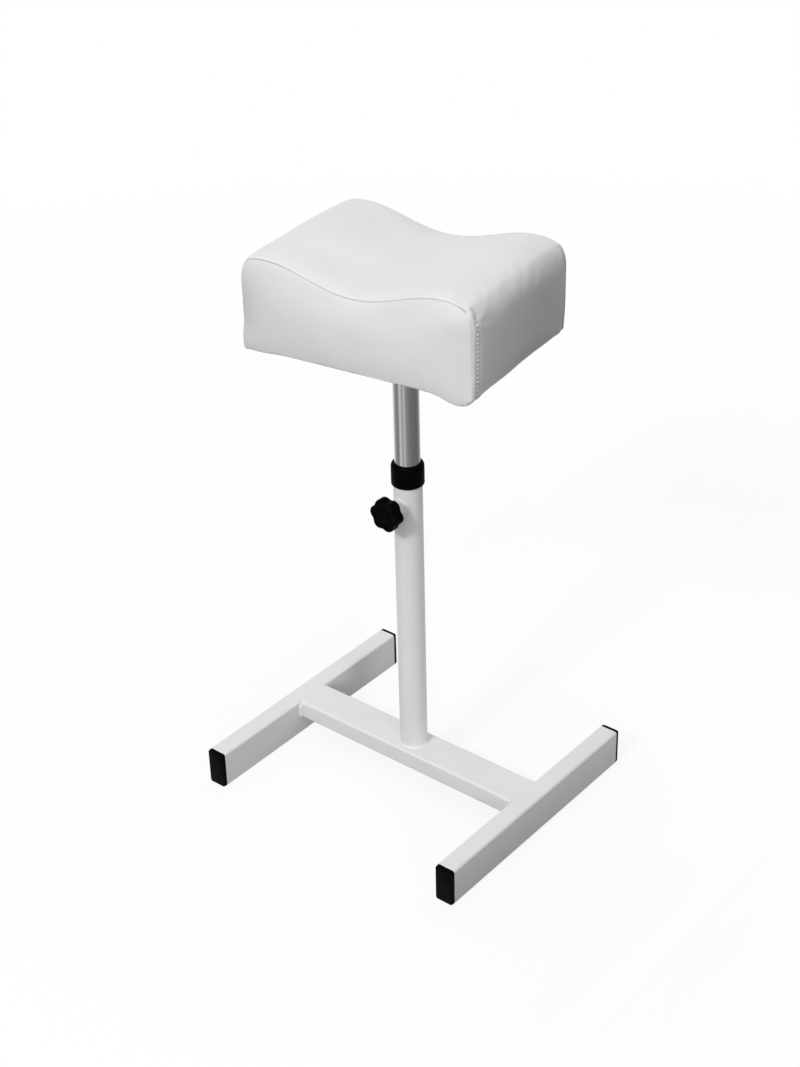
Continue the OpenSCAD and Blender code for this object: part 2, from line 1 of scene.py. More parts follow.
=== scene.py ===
# %% [markdown]
# # A pedicure footrest
# A white steel base carries a painted post. A chromed tube slides in the post,
# and a padded rest shaped like a saddle turns on top of it. A star knob clamps
# the tube. The exact pieces come from a CAD model, which is loaded first and
# never moves. The cells below give every piece its finish, and rebuild those
# that a plain solid can't show: the sewn pad, the weld beads and the knob.

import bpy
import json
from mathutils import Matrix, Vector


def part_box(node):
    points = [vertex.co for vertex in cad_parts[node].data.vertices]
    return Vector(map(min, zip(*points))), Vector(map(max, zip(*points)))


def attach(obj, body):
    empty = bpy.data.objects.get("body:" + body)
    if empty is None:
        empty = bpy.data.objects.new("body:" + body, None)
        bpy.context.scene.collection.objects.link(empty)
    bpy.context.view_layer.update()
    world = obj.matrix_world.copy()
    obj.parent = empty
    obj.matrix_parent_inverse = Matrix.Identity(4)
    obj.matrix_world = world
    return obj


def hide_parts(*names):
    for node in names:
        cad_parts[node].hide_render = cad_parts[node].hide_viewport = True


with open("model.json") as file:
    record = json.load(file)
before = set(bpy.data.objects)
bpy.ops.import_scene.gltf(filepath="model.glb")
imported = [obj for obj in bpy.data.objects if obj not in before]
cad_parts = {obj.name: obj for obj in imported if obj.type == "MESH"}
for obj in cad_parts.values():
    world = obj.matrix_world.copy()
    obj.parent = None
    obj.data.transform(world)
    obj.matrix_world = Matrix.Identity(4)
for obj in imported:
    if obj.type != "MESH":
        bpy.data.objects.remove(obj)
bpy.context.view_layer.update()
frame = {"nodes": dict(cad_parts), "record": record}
print("loaded", len(frame["nodes"]), "CAD pieces")

# %% [markdown]
# ## Units
# Blender counts in metres, and a maker counts in millimetres, so every size
# here is a number times MM. A finished piece's object stays at the origin,
# and its place is in its mesh, as with the CAD pieces.

# %% Units
import json
import math
import bpy
from mathutils import Matrix, Vector, noise

MM = 0.001
nodes = frame["nodes"]
scene = bpy.context.scene


def place_mesh(piece, matrix):
    """Moves the piece's mesh, so that its object can stay at the origin."""
    piece.data.transform(piece.matrix_world)
    piece.matrix_world = Matrix.Identity(4)
    piece.data.transform(matrix)
    piece.data.update()


# %% [markdown]
# ## The camera
# A product photograph looks down on the footrest from the right front corner,
# with a short telephoto lens, so its upright edges stay nearly parallel. The
# camera's place and angles are written as real sizes, and its axes follow
# from the angles. The Standard view shows a colour about as it is written.

# %% The camera
CAMERA_PLACE = Vector((1.0287, -1.2475, 1.2566))
CAMERA_TURN = math.radians(39.82)
CAMERA_TILT = math.radians(30.95)
CAMERA_ROLL = math.radians(-1.51)
FOCAL_LENGTH_MM = 66.27
LONG_SIDE_MM = 36
SEES_UP_TO = 50           # metres, past the far corners of the floor

looks_along = Vector((
    -math.sin(CAMERA_TURN) * math.cos(CAMERA_TILT),
    math.cos(CAMERA_TURN) * math.cos(CAMERA_TILT),
    -math.sin(CAMERA_TILT),
))
level = Vector((math.cos(CAMERA_TURN), math.sin(CAMERA_TURN), 0))
upright = level.cross(looks_along)
camera_right = math.cos(CAMERA_ROLL) * level + math.sin(CAMERA_ROLL) * upright
camera_up = math.cos(CAMERA_ROLL) * upright - math.sin(CAMERA_ROLL) * level
camera_axes = Matrix((camera_right, camera_up, -looks_along)).transposed()

bpy.ops.object.camera_add(location=CAMERA_PLACE, rotation=camera_axes.to_euler())
camera = bpy.context.object
camera.data.lens = FOCAL_LENGTH_MM
camera.data.sensor_width = LONG_SIDE_MM
camera.data.clip_end = SEES_UP_TO
scene.camera = camera
scene.view_settings.view_transform = "Standard"
print("camera", [round(x, 3) for x in camera.location], camera.data.lens, "mm")

# %% [markdown]
# ## Colours and nodes
# Colours are written as sRGB hex values, as on a paint card, and one function
# turns them to the linear values that a shader needs. One function adds any
# node with its settings and links, so that a material reads as a short list.

# %% Colours and nodes
WHITE = (1, 1, 1, 1)


def linear(hex_colour):
    """An sRGB hex colour such as "E8E8E6" as linear red, green, blue and alpha."""
    channels = [int(hex_colour[i:i + 2], 16) / 255 for i in (0, 2, 4)]
    return [c / 12.92 if c <= 0.04045 else ((c + 0.055) / 1.055) ** 2.4 for c in channels] + [1]


def set_stops(bands, stops):
    """Gives a colour ramp its (place, hex colour) stops."""
    while len(bands) < len(stops):
        bands.new(0.5)
    for band, (place, hex_colour) in zip(bands, stops):
        band.position = place
        band.color = linear(hex_colour)


def add_node(tree, kind, sockets=None, stops=(), **settings):
    """Adds a node. A socket is given a value, or another node's output to link."""
    made = tree.nodes.new(kind)
    for name, value in settings.items():
        setattr(made, name, value)
    for name, value in (sockets or {}).items():
        if isinstance(value, bpy.types.NodeSocket):
            tree.links.new(value, made.inputs[name])
        else:
            made.inputs[name].default_value = value
    if stops:
        set_stops(made.color_ramp.elements, stops)
    return made


def empty_material(name):
    """A material whose tree has no node yet."""
    material = bpy.data.materials.new(name)
    material.use_nodes = True
    material.node_tree.nodes.clear()
    return material


print("half grey in linear light:", round(linear("808080")[0], 3))

# %% [markdown]
# ## Floor and background
# The footrest stands on white paper in a pale room. The floor and the world
# are white only to rays that come from the camera or from a reflection. To
# diffuse light they are grey, so the sides of the footrest keep their shade.
# More light would whiten the paper as well, but it would burn out the pad.

# %% Floor and background
FLOOR_GREY = "505050"
FLOOR_SIZE = 14
FLOOR_GAP = 0.2 * MM
ROOM_LIGHT = 0.66
FLOOR_GLOW_NEAR = 0.85    # the rest of the floor's brightness comes from the lamps
FLOOR_FADE = (0.5, 1.8)   # over these distances the floor burns out to white


def seen_directly(tree):
    """1 for rays from the camera and for reflected and refracted rays."""
    path = add_node(tree, "ShaderNodeLightPath").outputs
    first = add_node(tree, "ShaderNodeMath",
                     {0: path["Is Camera Ray"], 1: path["Is Glossy Ray"]}, operation="MAXIMUM")
    both = add_node(tree, "ShaderNodeMath",
                    {0: first.outputs[0], 1: path["Is Transmission Ray"]}, operation="MAXIMUM")
    return both.outputs[0]


world = bpy.data.worlds.new("pale_room")
scene.world = world
world.use_nodes = True
tree = world.node_tree
tree.nodes.clear()
room = add_node(tree, "ShaderNodeBackground", {"Color": WHITE, "Strength": ROOM_LIGHT})
white = add_node(tree, "ShaderNodeBackground", {"Color": WHITE, "Strength": 1.0})
either = add_node(tree, "ShaderNodeMixShader",
                  {0: seen_directly(tree), 1: room.outputs[0], 2: white.outputs[0]})
add_node(tree, "ShaderNodeOutputWorld", {"Surface": either.outputs[0]})

bpy.ops.mesh.primitive_plane_add(size=FLOOR_SIZE, location=(0, 0, -FLOOR_GAP))
floor = bpy.context.object
floor.name = "floor"
place_mesh(floor, Matrix.Identity(4))
floor_paper = empty_material("white_paper_floor")
tree = floor_paper.node_tree
dull = add_node(tree, "ShaderNodeBsdfDiffuse", {"Color": linear(FLOOR_GREY)})
paper = add_node(tree, "ShaderNodeBsdfDiffuse", {"Color": WHITE})
glow = add_node(tree, "ShaderNodeEmission", {"Color": WHITE, "Strength": 1.0})
places = add_node(tree, "ShaderNodeTexCoord").outputs["Object"]
away = add_node(tree, "ShaderNodeVectorMath", {0: places}, operation="LENGTH")
burnt = add_node(tree, "ShaderNodeMapRange",
                 {"Value": away.outputs["Value"], "From Min": FLOOR_FADE[0], "From Max": FLOOR_FADE[1],
                  "To Min": FLOOR_GLOW_NEAR, "To Max": 1.0})
shown = add_node(tree, "ShaderNodeMixShader",
                 {0: burnt.outputs[0], 1: paper.outputs[0], 2: glow.outputs[0]})
either = add_node(tree, "ShaderNodeMixShader",
                  {0: seen_directly(tree), 1: dull.outputs[0], 2: shown.outputs[0]})
add_node(tree, "ShaderNodeOutputMaterial", {"Surface": either.outputs[0]})
floor.data.materials.append(floor_paper)
print("floor", FLOOR_SIZE, "m wide")

# %% [markdown]
# ## Softboxes
# A softbox is a lamp behind a square of white cloth, and its size sets how
# soft the shadows are. A large one high in front models the forms and throws
# the knob's shadow on the post. A weaker one low on the right lightens the
# right sides. The pale room fills in the rest.

# %% Softboxes
AIM = Vector((0, 0, 0.3))
LAMP_DISTANCE = 5
# Each softbox: degrees right of the front, degrees up, side in metres, watts
SOFTBOXES = [
    ("front_softbox", 3, 38.5, 0.8, 106),
    ("right_softbox", 60, 11, 1.0, 38),
]


def softbox(name, right, up, size, watts):
    """A square lamp aimed at the footrest."""
    right, up = math.radians(right), math.radians(up)
    towards = Vector((math.sin(right) * math.cos(up), -math.cos(right) * math.cos(up), math.sin(up)))
    bpy.ops.object.light_add(type="AREA", location=AIM + towards * LAMP_DISTANCE,
                             rotation=(-towards).to_track_quat("-Z", "Y").to_euler())
    lamp = bpy.context.object
    lamp.name = name
    lamp.data.size = size
    lamp.data.energy = watts
    print(name, watts, "W")


for settings in SOFTBOXES:
    softbox(*settings)

# %% [markdown]
# ## Black cards
# A photographer darkens one face with a black card beside it, out of the
# picture. Three such cards shade the pad's right end, its left front corner
# and the right rail. They take away soft light only: neither the camera nor
# a reflection sees them. Operators act on all that is selected, so each step
# first deselects everything and then picks its own piece.

# %% Black cards
# Each card: its place, and its sizes along Y and Z
CARDS = [
    ("pad_end_card", (0.5, 0.08, 0.602), (0.65, 0.22)),
    ("pad_corner_card", (-0.125, -0.175, 0.515), (0.15, 0.13)),
    ("rail_card", (0.35, -0.11, 0.065), (0.32, 0.06)),
]
black_cloth = bpy.data.materials.new("black_cloth")
black_cloth.use_nodes = True
black_cloth.node_tree.nodes["Principled BSDF"].inputs["Base Color"].default_value = linear("050505")


def hide_from(piece, *rays):
    """Makes piece unseen by these kinds of ray."""
    for kind in rays:
        setattr(piece, "visible_" + kind, False)


def pick(piece):
    """Makes piece the only selected object, in object mode."""
    bpy.ops.object.select_all(action="DESELECT")
    piece.select_set(True)
    bpy.context.view_layer.objects.active = piece


def edit_selected(piece, kind, test):
    """Opens piece in edit mode, with only the vertices, edges or faces selected that pass test."""
    pick(piece)
    bpy.ops.object.mode_set(mode="EDIT")
    bpy.ops.mesh.select_mode(type=kind)
    bpy.ops.mesh.select_all(action="DESELECT")
    bpy.ops.object.mode_set(mode="OBJECT")
    mesh = piece.data
    parts = {"VERT": mesh.vertices, "EDGE": mesh.edges, "FACE": mesh.polygons}[kind]
    for part in parts:
        part.select = test(part)
    bpy.ops.object.mode_set(mode="EDIT")


def close_edit():
    bpy.ops.object.mode_set(mode="OBJECT")


def black_card(name, place, size):
    """An upright card across X."""
    bpy.ops.mesh.primitive_plane_add(size=1, location=(0, 0, 0))
    card = bpy.context.object
    card.name = name
    edit_selected(card, "VERT", lambda v: True)
    bpy.ops.transform.resize(value=(size[1], size[0], 1), center_override=(0, 0, 0))
    close_edit()
    place_mesh(card, Matrix.Translation(place) @ Matrix.Rotation(math.pi / 2, 4, "Y"))
    card.data.materials.append(black_cloth)
    hide_from(card, "camera", "glossy", "transmission")


for name, place, size in CARDS:
    black_card(name, place, size)
print("cards", [name for name, place, size in CARDS])

# %% [markdown]
# ## A ring round the chrome
# Chrome has no colour of its own: it shows the room. The upright tube mirrors
# a ring of the room near the floor, so a paper ring stands there, with darker
# and lighter parts, as a photographer puts cards round a shiny bottle. Only
# reflections see it.

# %% A ring round the chrome
RING_R = 0.62
RING_H = 0.5
RING_SEGMENTS = 120
RING_START = -90
# Greys round the ring, in degrees from the front, through the right and the back
RING_GREYS = [
    (-90, "C4C4C4"), (-78, "A8A8A8"), (-62, "939393"), (-45, "868686"), (-34, "8D8D8D"),
    (-25, "BFBFBF"), (-15, "D5D5D5"), (-5, "BABABA"), (4, "9E9E9E"), (13, "C0C0C0"),
    (22, "C1C1C1"), (32, "A3A3A3"), (42, "8C8C8C"), (58, "828282"), (78, "757575"),
    (118, "6F6F6F"), (142, "6B6B6B"), (160, "898989"), (185, "C1C1C1"), (215, "F2F2F2"),
    (268, "F2F2F2"),
]
bpy.ops.mesh.primitive_cylinder_add(vertices=RING_SEGMENTS, radius=RING_R, depth=RING_H,
                                    end_fill_type="NOTHING", location=(0, 0, RING_H / 2))
ring = bpy.context.object
ring.name = "paper_ring"
place_mesh(ring, Matrix.Identity(4))
ring_paper = empty_material("shaded_paper_ring")
tree = ring_paper.node_tree
places = add_node(tree, "ShaderNodeTexCoord").outputs["Object"]
round_share = add_node(tree, "ShaderNodeTexGradient", {"Vector": places}, gradient_type="RADIAL")
stops = [((angle - RING_START) / 360, grey) for angle, grey in RING_GREYS]
greys = add_node(tree, "ShaderNodeValToRGB", {"Fac": round_share.outputs["Fac"]}, stops=stops)
ring_glow = add_node(tree, "ShaderNodeEmission", {"Color": greys.outputs["Color"], "Strength": 1.0})
add_node(tree, "ShaderNodeOutputMaterial", {"Surface": ring_glow.outputs[0]})
ring.data.materials.append(ring_paper)
hide_from(ring, "camera", "diffuse", "shadow", "transmission")
print("ring of", len(RING_GREYS), "greys")

# %% [markdown]
# ## Starting a material
# Each finish starts from the same shader and reads the object's own
# coordinates, so that a pattern stays where it is on a piece that moves. The
# scale of a texture counts its features in a metre, so it is worked out from
# their real size.

# %% Starting a material
def start_material(name, **shader_values):
    """A material with its tree, its shader and the object's own coordinates."""
    material = bpy.data.materials.new(name)
    material.use_nodes = True
    tree = material.node_tree
    shader = tree.nodes["Principled BSDF"]
    for socket, value in shader_values.items():
        shader.inputs[socket.replace("_", " ")].default_value = value
    places = add_node(tree, "ShaderNodeTexCoord").outputs["Object"]
    return material, tree, shader, places


def link_shader(tree, shader, **outputs):
    """Links each output to the shader's socket of that name."""
    for socket, output in outputs.items():
        tree.links.new(output, shader.inputs[socket.replace("_", " ")])


def per_metre(size):
    """The scale of a texture whose features are about size metres wide."""
    return 1 / size


print("features of a millimetre take a scale of", round(per_metre(MM)))

# %% [markdown]
# ## Powder-coated steel
# The base and post are steel tube with a white powder coat, which is baked
# on. The melted powder leaves a faint orange peel, a few hundredths of a
# millimetre high over a few millimetres, and an even satin gloss. Dust and
# scuffs gather low down. A plain white shader would look like plaster, so
# noise makes the peel, and the height above the floor mixes in the scuffs.

# %% Powder-coated steel
PEEL_SIZE = 2.5 * MM      # real peel is 1 to 2 mm wide, drawn a little coarser so that it shows
PEEL_DEPTH = 0.035 * MM
COAT_CLOUD = 60 * MM
SCUFF_SIZE = 9 * MM
SCUFF_HIGH = 14 * MM      # the scuffs end at this height above the floor
SCUFF_MOST = 0.16


def powder_coat():
    material, tree, shader, places = start_material("powder_coated_steel", IOR=1.5, Roughness=0.38)
    peel = add_node(tree, "ShaderNodeTexNoise",
                    {"Vector": places, "Scale": per_metre(PEEL_SIZE), "Detail": 2.0, "Roughness": 0.45})
    cloud = add_node(tree, "ShaderNodeTexNoise",
                     {"Vector": places, "Scale": per_metre(COAT_CLOUD), "Detail": 3.0})
    tint = add_node(tree, "ShaderNodeValToRGB", {"Fac": cloud.outputs["Fac"]},
                    stops=[(0.3, "E4E4E4"), (0.7, "E9E9E8")]).outputs["Color"]
    scuff = add_node(tree, "ShaderNodeTexNoise",
                     {"Vector": places, "Scale": per_metre(SCUFF_SIZE), "Detail": 6.0, "Roughness": 0.7})
    height = add_node(tree, "ShaderNodeSeparateXYZ", {"Vector": places}).outputs["Z"]
    low = add_node(tree, "ShaderNodeMapRange",
                   {"Value": height, "From Min": 0.0, "From Max": SCUFF_HIGH,
                    "To Min": SCUFF_MOST, "To Max": 0.0})
    worn = add_node(tree, "ShaderNodeMath",
                    {0: low.outputs[0], 1: scuff.outputs["Fac"]}, operation="MULTIPLY")
    colour = add_node(tree, "ShaderNodeMix",
                      {"Factor": worn.outputs[0], "A": tint, "B": linear("8E8C88")}, data_type="RGBA")
    gloss = add_node(tree, "ShaderNodeMapRange",
                     {"Value": cloud.outputs["Fac"], "To Min": 0.33, "To Max": 0.43})
    skin = add_node(tree, "ShaderNodeBump", {"Height": peel.outputs["Fac"], "Distance": PEEL_DEPTH})
    link_shader(tree, shader, Base_Color=colour.outputs["Result"], Roughness=gloss.outputs[0],
                Normal=skin.outputs["Normal"])
    return material


powder_coated_steel = powder_coat()
print(powder_coated_steel.name, len(powder_coated_steel.node_tree.nodes), "nodes")

# %% [markdown]
# ## Moulded black plastic
# The knob, collar, plugs and bush are injection-moulded. The mould is spark
# eroded, so the skin has a fine even grain and only a dull sheen. Fine noise
# as a bump gives the grain, and a wide, weak one varies the sheen as the
# flow of the plastic does.

# %% Moulded black plastic
GRAIN_SIZE = 0.9 * MM
GRAIN_DEPTH = 0.03 * MM
HAZE_SIZE = 12 * MM


def moulded_plastic():
    material, tree, shader, places = start_material(
        "moulded_black_plastic", IOR=1.5, Roughness=0.55, Specular_IOR_Level=0.02)
    grain = add_node(tree, "ShaderNodeTexNoise",
                     {"Vector": places, "Scale": per_metre(GRAIN_SIZE), "Detail": 4.0, "Roughness": 0.6})
    haze = add_node(tree, "ShaderNodeTexNoise",
                    {"Vector": places, "Scale": per_metre(HAZE_SIZE), "Detail": 3.0})
    tint = add_node(tree, "ShaderNodeValToRGB", {"Fac": haze.outputs["Fac"]},
                    stops=[(0.35, "030304"), (0.75, "080809")]).outputs["Color"]
    gloss = add_node(tree, "ShaderNodeMapRange",
                     {"Value": haze.outputs["Fac"], "To Min": 0.4, "To Max": 0.54})
    skin = add_node(tree, "ShaderNodeBump", {"Height": grain.outputs["Fac"], "Distance": GRAIN_DEPTH})
    link_shader(tree, shader, Base_Color=tint, Roughness=gloss.outputs[0], Normal=skin.outputs["Normal"])
    return material


moulded_black_plastic = moulded_plastic()
print(moulded_black_plastic.name, len(moulded_black_plastic.node_tree.nodes), "nodes")

# %% [markdown]
# ## Bright chrome plate
# The sliding tube is polished and chrome plated. Drawing and polishing leave
# it very slightly wavy along its length, which bends the reflections a
# little, and the plating has a few hair-fine polishing lines round it. Both
# are one noise each, stretched along the tube or round it by a Mapping node.

# %% Bright chrome plate
DRAW_WAVE = 18 * MM
DRAW_DEPTH = 0.02 * MM
DRAW_STRETCH = (1, 1, 0.12)
POLISH_SIZE = 0.6 * MM
POLISH_STRETCH = (0.05, 0.05, 1)


def chrome_plate():
    material, tree, shader, places = start_material("bright_chrome_plate", Metallic=1.0, Roughness=0.04)
    shader.inputs["Base Color"].default_value = linear("E3E3E3")
    waves = add_node(tree, "ShaderNodeMapping", {"Vector": places, "Scale": DRAW_STRETCH})
    wave = add_node(tree, "ShaderNodeTexNoise",
                    {"Vector": waves.outputs[0], "Scale": per_metre(DRAW_WAVE), "Detail": 1.0})
    lines = add_node(tree, "ShaderNodeMapping", {"Vector": places, "Scale": POLISH_STRETCH})
    line = add_node(tree, "ShaderNodeTexNoise",
                    {"Vector": lines.outputs[0], "Scale": per_metre(POLISH_SIZE), "Detail": 3.0})
    gloss = add_node(tree, "ShaderNodeMapRange",
                     {"Value": line.outputs["Fac"], "To Min": 0.03, "To Max": 0.06})
    skin = add_node(tree, "ShaderNodeBump", {"Height": wave.outputs["Fac"], "Distance": DRAW_DEPTH})
    link_shader(tree, shader, Roughness=gloss.outputs[0], Normal=skin.outputs["Normal"])
    return material


bright_chrome_plate = chrome_plate()
print(bright_chrome_plate.name, len(bright_chrome_plate.node_tree.nodes), "nodes")

# %% [markdown]
# ## Zinc-plated steel
# Screws, washers, tee nuts, staples and the clamp screw are barrel plated,
# which leaves a blotchy grey shine. The cells of a Voronoi texture make such
# blotches, where noise would look like cloud.

# %% Zinc-plated steel
BLOTCH_SIZE = 2.2 * MM


def zinc_plate():
    material, tree, shader, places = start_material("zinc_plated_steel", Metallic=1.0, Roughness=0.35)
    blotch = add_node(tree, "ShaderNodeTexVoronoi", {"Vector": places, "Scale": per_metre(BLOTCH_SIZE)})
    tint = add_node(tree, "ShaderNodeValToRGB", {"Fac": blotch.outputs["Distance"]},
                    stops=[(0.0, "C9CBCC"), (1.0, "A9ACAE")]).outputs["Color"]
    gloss = add_node(tree, "ShaderNodeMapRange",
                     {"Value": blotch.outputs["Distance"], "To Min": 0.28, "To Max": 0.45})
    link_shader(tree, shader, Base_Color=tint, Roughness=gloss.outputs[0])
    return material


zinc_plated_steel = zinc_plate()
print(zinc_plated_steel.name, len(zinc_plated_steel.node_tree.nodes), "nodes")

# %% [markdown]
# ## White leathercloth
# The cover is PVC-coated fabric, the wipe-clean kind that salons use. Its
# skin is embossed with a fine pebble grain about a millimetre wide and has a
# soft satin gloss. The grain is drawn shallow, because it hardly shows from
# a step away. The seams get painted shade: a value that the cover's mesh
# carries, named crease, says where, and the colour is darkened there.

# %% White leathercloth
PEBBLE_SIZE = 1.3 * MM
PEBBLE_DEPTH = 0.05 * MM
DRIFT_SIZE = 6 * MM       # the rows of pebbles wander over this distance
DRIFT_BY = 2 * MM
CREASE_SIZE = 14 * MM
CREASE_DEPTH = 0.12 * MM
PAINTED_SHADE_DARKNESS = 0.5        # how dark the painted shade in the seams is
COVER_CLOUD = 70 * MM


def leathercloth():
    material, tree, shader, places = start_material("white_leathercloth", IOR=1.48, Roughness=0.42)
    bent = add_node(tree, "ShaderNodeTexNoise",
                    {"Vector": places, "Scale": per_metre(DRIFT_SIZE), "Detail": 2.0})
    drift = add_node(tree, "ShaderNodeVectorMath",
                     {0: bent.outputs["Color"], 1: (DRIFT_BY, DRIFT_BY, DRIFT_BY)}, operation="MULTIPLY")
    moved = add_node(tree, "ShaderNodeVectorMath", {0: places, 1: drift.outputs[0]}, operation="ADD")
    pebble = add_node(tree, "ShaderNodeTexVoronoi",
                      {"Vector": moved.outputs[0], "Scale": per_metre(PEBBLE_SIZE)}, feature="F1")
    crease = add_node(tree, "ShaderNodeTexNoise",
                      {"Vector": places, "Scale": per_metre(CREASE_SIZE), "Detail": 3.0, "Roughness": 0.5})
    cloud = add_node(tree, "ShaderNodeTexNoise",
                     {"Vector": places, "Scale": per_metre(COVER_CLOUD), "Detail": 2.0})
    tint = add_node(tree, "ShaderNodeValToRGB", {"Fac": cloud.outputs["Fac"]},
                    stops=[(0.3, "E5E5E5"), (0.7, "EAEAE9")]).outputs["Color"]
    gloss = add_node(tree, "ShaderNodeMapRange",
                     {"Value": crease.outputs["Fac"], "To Min": 0.38, "To Max": 0.47})
    grain = add_node(tree, "ShaderNodeBump",
                     {"Height": pebble.outputs["Distance"], "Distance": PEBBLE_DEPTH})
    skin = add_node(tree, "ShaderNodeBump",
                    {"Height": crease.outputs["Fac"], "Distance": CREASE_DEPTH,
                     "Normal": grain.outputs["Normal"]})
    # Painted shade: the crease value mixes the colour towards dark grey in the seam grooves and stitch
    # rows.
    seam = add_node(tree, "ShaderNodeAttribute", attribute_name="crease")
    painted_shade = add_node(tree, "ShaderNodeMath",
                     {0: seam.outputs["Fac"], 1: PAINTED_SHADE_DARKNESS}, operation="MULTIPLY")
    colour = add_node(tree, "ShaderNodeMix",
                      {"Factor": painted_shade.outputs[0], "A": tint, "B": linear("6E6D6A")}, data_type="RGBA")
    link_shader(tree, shader, Base_Color=colour.outputs["Result"], Roughness=gloss.outputs[0],
                Normal=skin.outputs["Normal"])
    return material


white_leathercloth = leathercloth()
print(white_leathercloth.name, len(white_leathercloth.node_tree.nodes), "nodes")

# %% [markdown]
# ## Thread and felt
# The cover is sewn with bonded polyester thread, which is smooth but shows
# its twist. Under the pad lies non-woven felt, a black mat of short fibres
# with no direction, so one noise of many details is both its colour and its
# nap.

# %% Thread and felt
TWIST_SIZE, TWIST_DEPTH = 0.5 * MM, 0.1 * MM
FIBRE_SIZE, FIBRE_DEPTH = 0.8 * MM, 0.15 * MM


def sewing_thread():
    material, tree, shader, places = start_material("polyester_thread", IOR=1.5, Roughness=0.65)
    twist = add_node(tree, "ShaderNodeTexNoise",
                     {"Vector": places, "Scale": per_metre(TWIST_SIZE), "Detail": 2.0})
    tint = add_node(tree, "ShaderNodeValToRGB", {"Fac": twist.outputs["Fac"]},
                    stops=[(0.3, "D4D4D3"), (0.7, "E6E6E4")]).outputs["Color"]
    skin = add_node(tree, "ShaderNodeBump", {"Height": twist.outputs["Fac"], "Distance": TWIST_DEPTH})
    link_shader(tree, shader, Base_Color=tint, Normal=skin.outputs["Normal"])
    return material


def nonwoven_felt():
    material, tree, shader, places = start_material("black_nonwoven_felt", IOR=1.45, Roughness=0.95)
    fibre = add_node(tree, "ShaderNodeTexNoise",
                     {"Vector": places, "Scale": per_metre(FIBRE_SIZE), "Detail": 8.0, "Roughness": 0.75})
    tint = add_node(tree, "ShaderNodeValToRGB", {"Fac": fibre.outputs["Fac"]},
                    stops=[(0.35, "101011"), (0.65, "2B2B2D")]).outputs["Color"]
    skin = add_node(tree, "ShaderNodeBump", {"Height": fibre.outputs["Fac"], "Distance": FIBRE_DEPTH})
    link_shader(tree, shader, Base_Color=tint, Normal=skin.outputs["Normal"])
    return material


polyester_thread = sewing_thread()
black_nonwoven_felt = nonwoven_felt()
print(polyester_thread.name, "and", black_nonwoven_felt.name)

# %% [markdown]
# ## Birch plywood
# The pad's board is birch plywood, peeled in sheets of a millimetre and a
# half whose grain runs along and across by turns. Its edge shows light and
# dark plies. Noise stretched along X draws the grain, and a sine of the
# height draws the plies, so that both stay true wherever the board is cut.

# %% Birch plywood
PLY_THICK = 1.5 * MM
PLY_BLUR = 0.2            # how softly one ply turns into the next
WOOD_SIZE, WOOD_DEPTH = 1.4 * MM, 0.05 * MM
WOOD_STRETCH = (0.06, 1, 1)


def birch_plywood():
    material, tree, shader, places = start_material("birch_plywood", IOR=1.5, Roughness=0.6)
    along = add_node(tree, "ShaderNodeMapping", {"Vector": places, "Scale": WOOD_STRETCH})
    grain = add_node(tree, "ShaderNodeTexNoise",
                     {"Vector": along.outputs[0], "Scale": per_metre(WOOD_SIZE), "Detail": 5.0,
                      "Distortion": 0.4})
    face = add_node(tree, "ShaderNodeValToRGB", {"Fac": grain.outputs["Fac"]},
                    stops=[(0.3, "D9BE93"), (0.7, "C49F6C")]).outputs["Color"]
    height = add_node(tree, "ShaderNodeSeparateXYZ", {"Vector": places}).outputs["Z"]
    plies = add_node(tree, "ShaderNodeMath", {0: height, 1: math.pi / PLY_THICK}, operation="MULTIPLY")
    wave = add_node(tree, "ShaderNodeMath", {0: plies.outputs[0]}, operation="SINE")
    band = add_node(tree, "ShaderNodeMapRange",
                    {"Value": wave.outputs[0], "From Min": -PLY_BLUR, "From Max": PLY_BLUR})
    edge = add_node(tree, "ShaderNodeValToRGB", {"Fac": band.outputs[0]},
                    stops=[(0.0, "B98F5C"), (1.0, "E0C79E")]).outputs["Color"]
    both = add_node(tree, "ShaderNodeMix", {"Factor": 0.5, "A": face, "B": edge}, data_type="RGBA")
    skin = add_node(tree, "ShaderNodeBump", {"Height": grain.outputs["Fac"], "Distance": WOOD_DEPTH})
    link_shader(tree, shader, Base_Color=both.outputs["Result"], Normal=skin.outputs["Normal"])
    return material


plywood = birch_plywood()
print(plywood.name, "with plies of", PLY_THICK / MM, "mm")

# %% [markdown]
# ## Foam and nylon
# Moulded foam is a mass of open cells, matt and slightly yellow. Its cells
# are drawn coarser than the real half millimetre, so that they show. The tip
# of the clamp screw is natural nylon, milky because light enters it a little.

# %% Foam and nylon
CELL_SIZE, CELL_DEPTH = 1.2 * MM, 0.5 * MM
NYLON_CLOUD = 3 * MM
NYLON_GLOW = 1 * MM       # how deep light enters the nylon


def open_cell_foam():
    material, tree, shader, places = start_material("open_cell_foam", IOR=1.45, Roughness=0.9)
    cells = add_node(tree, "ShaderNodeTexVoronoi", {"Vector": places, "Scale": per_metre(CELL_SIZE)})
    tint = add_node(tree, "ShaderNodeValToRGB", {"Fac": cells.outputs["Distance"]},
                    stops=[(0.0, "D9C999"), (0.8, "EADFBB")]).outputs["Color"]
    skin = add_node(tree, "ShaderNodeBump", {"Height": cells.outputs["Distance"], "Distance": CELL_DEPTH})
    link_shader(tree, shader, Base_Color=tint, Normal=skin.outputs["Normal"])
    return material


def natural_nylon():
    material, tree, shader, places = start_material(
        "natural_nylon", IOR=1.53, Roughness=0.4, Subsurface_Weight=0.1, Subsurface_Scale=NYLON_GLOW)
    cloud = add_node(tree, "ShaderNodeTexNoise", {"Vector": places, "Scale": per_metre(NYLON_CLOUD)})
    tint = add_node(tree, "ShaderNodeValToRGB", {"Fac": cloud.outputs["Fac"]},
                    stops=[(0.3, "E6DFCB"), (0.7, "F0EBDC")]).outputs["Color"]
    link_shader(tree, shader, Base_Color=tint)
    return material


foam_yellow = open_cell_foam()
nylon = natural_nylon()
print(foam_yellow.name, "and", nylon.name)

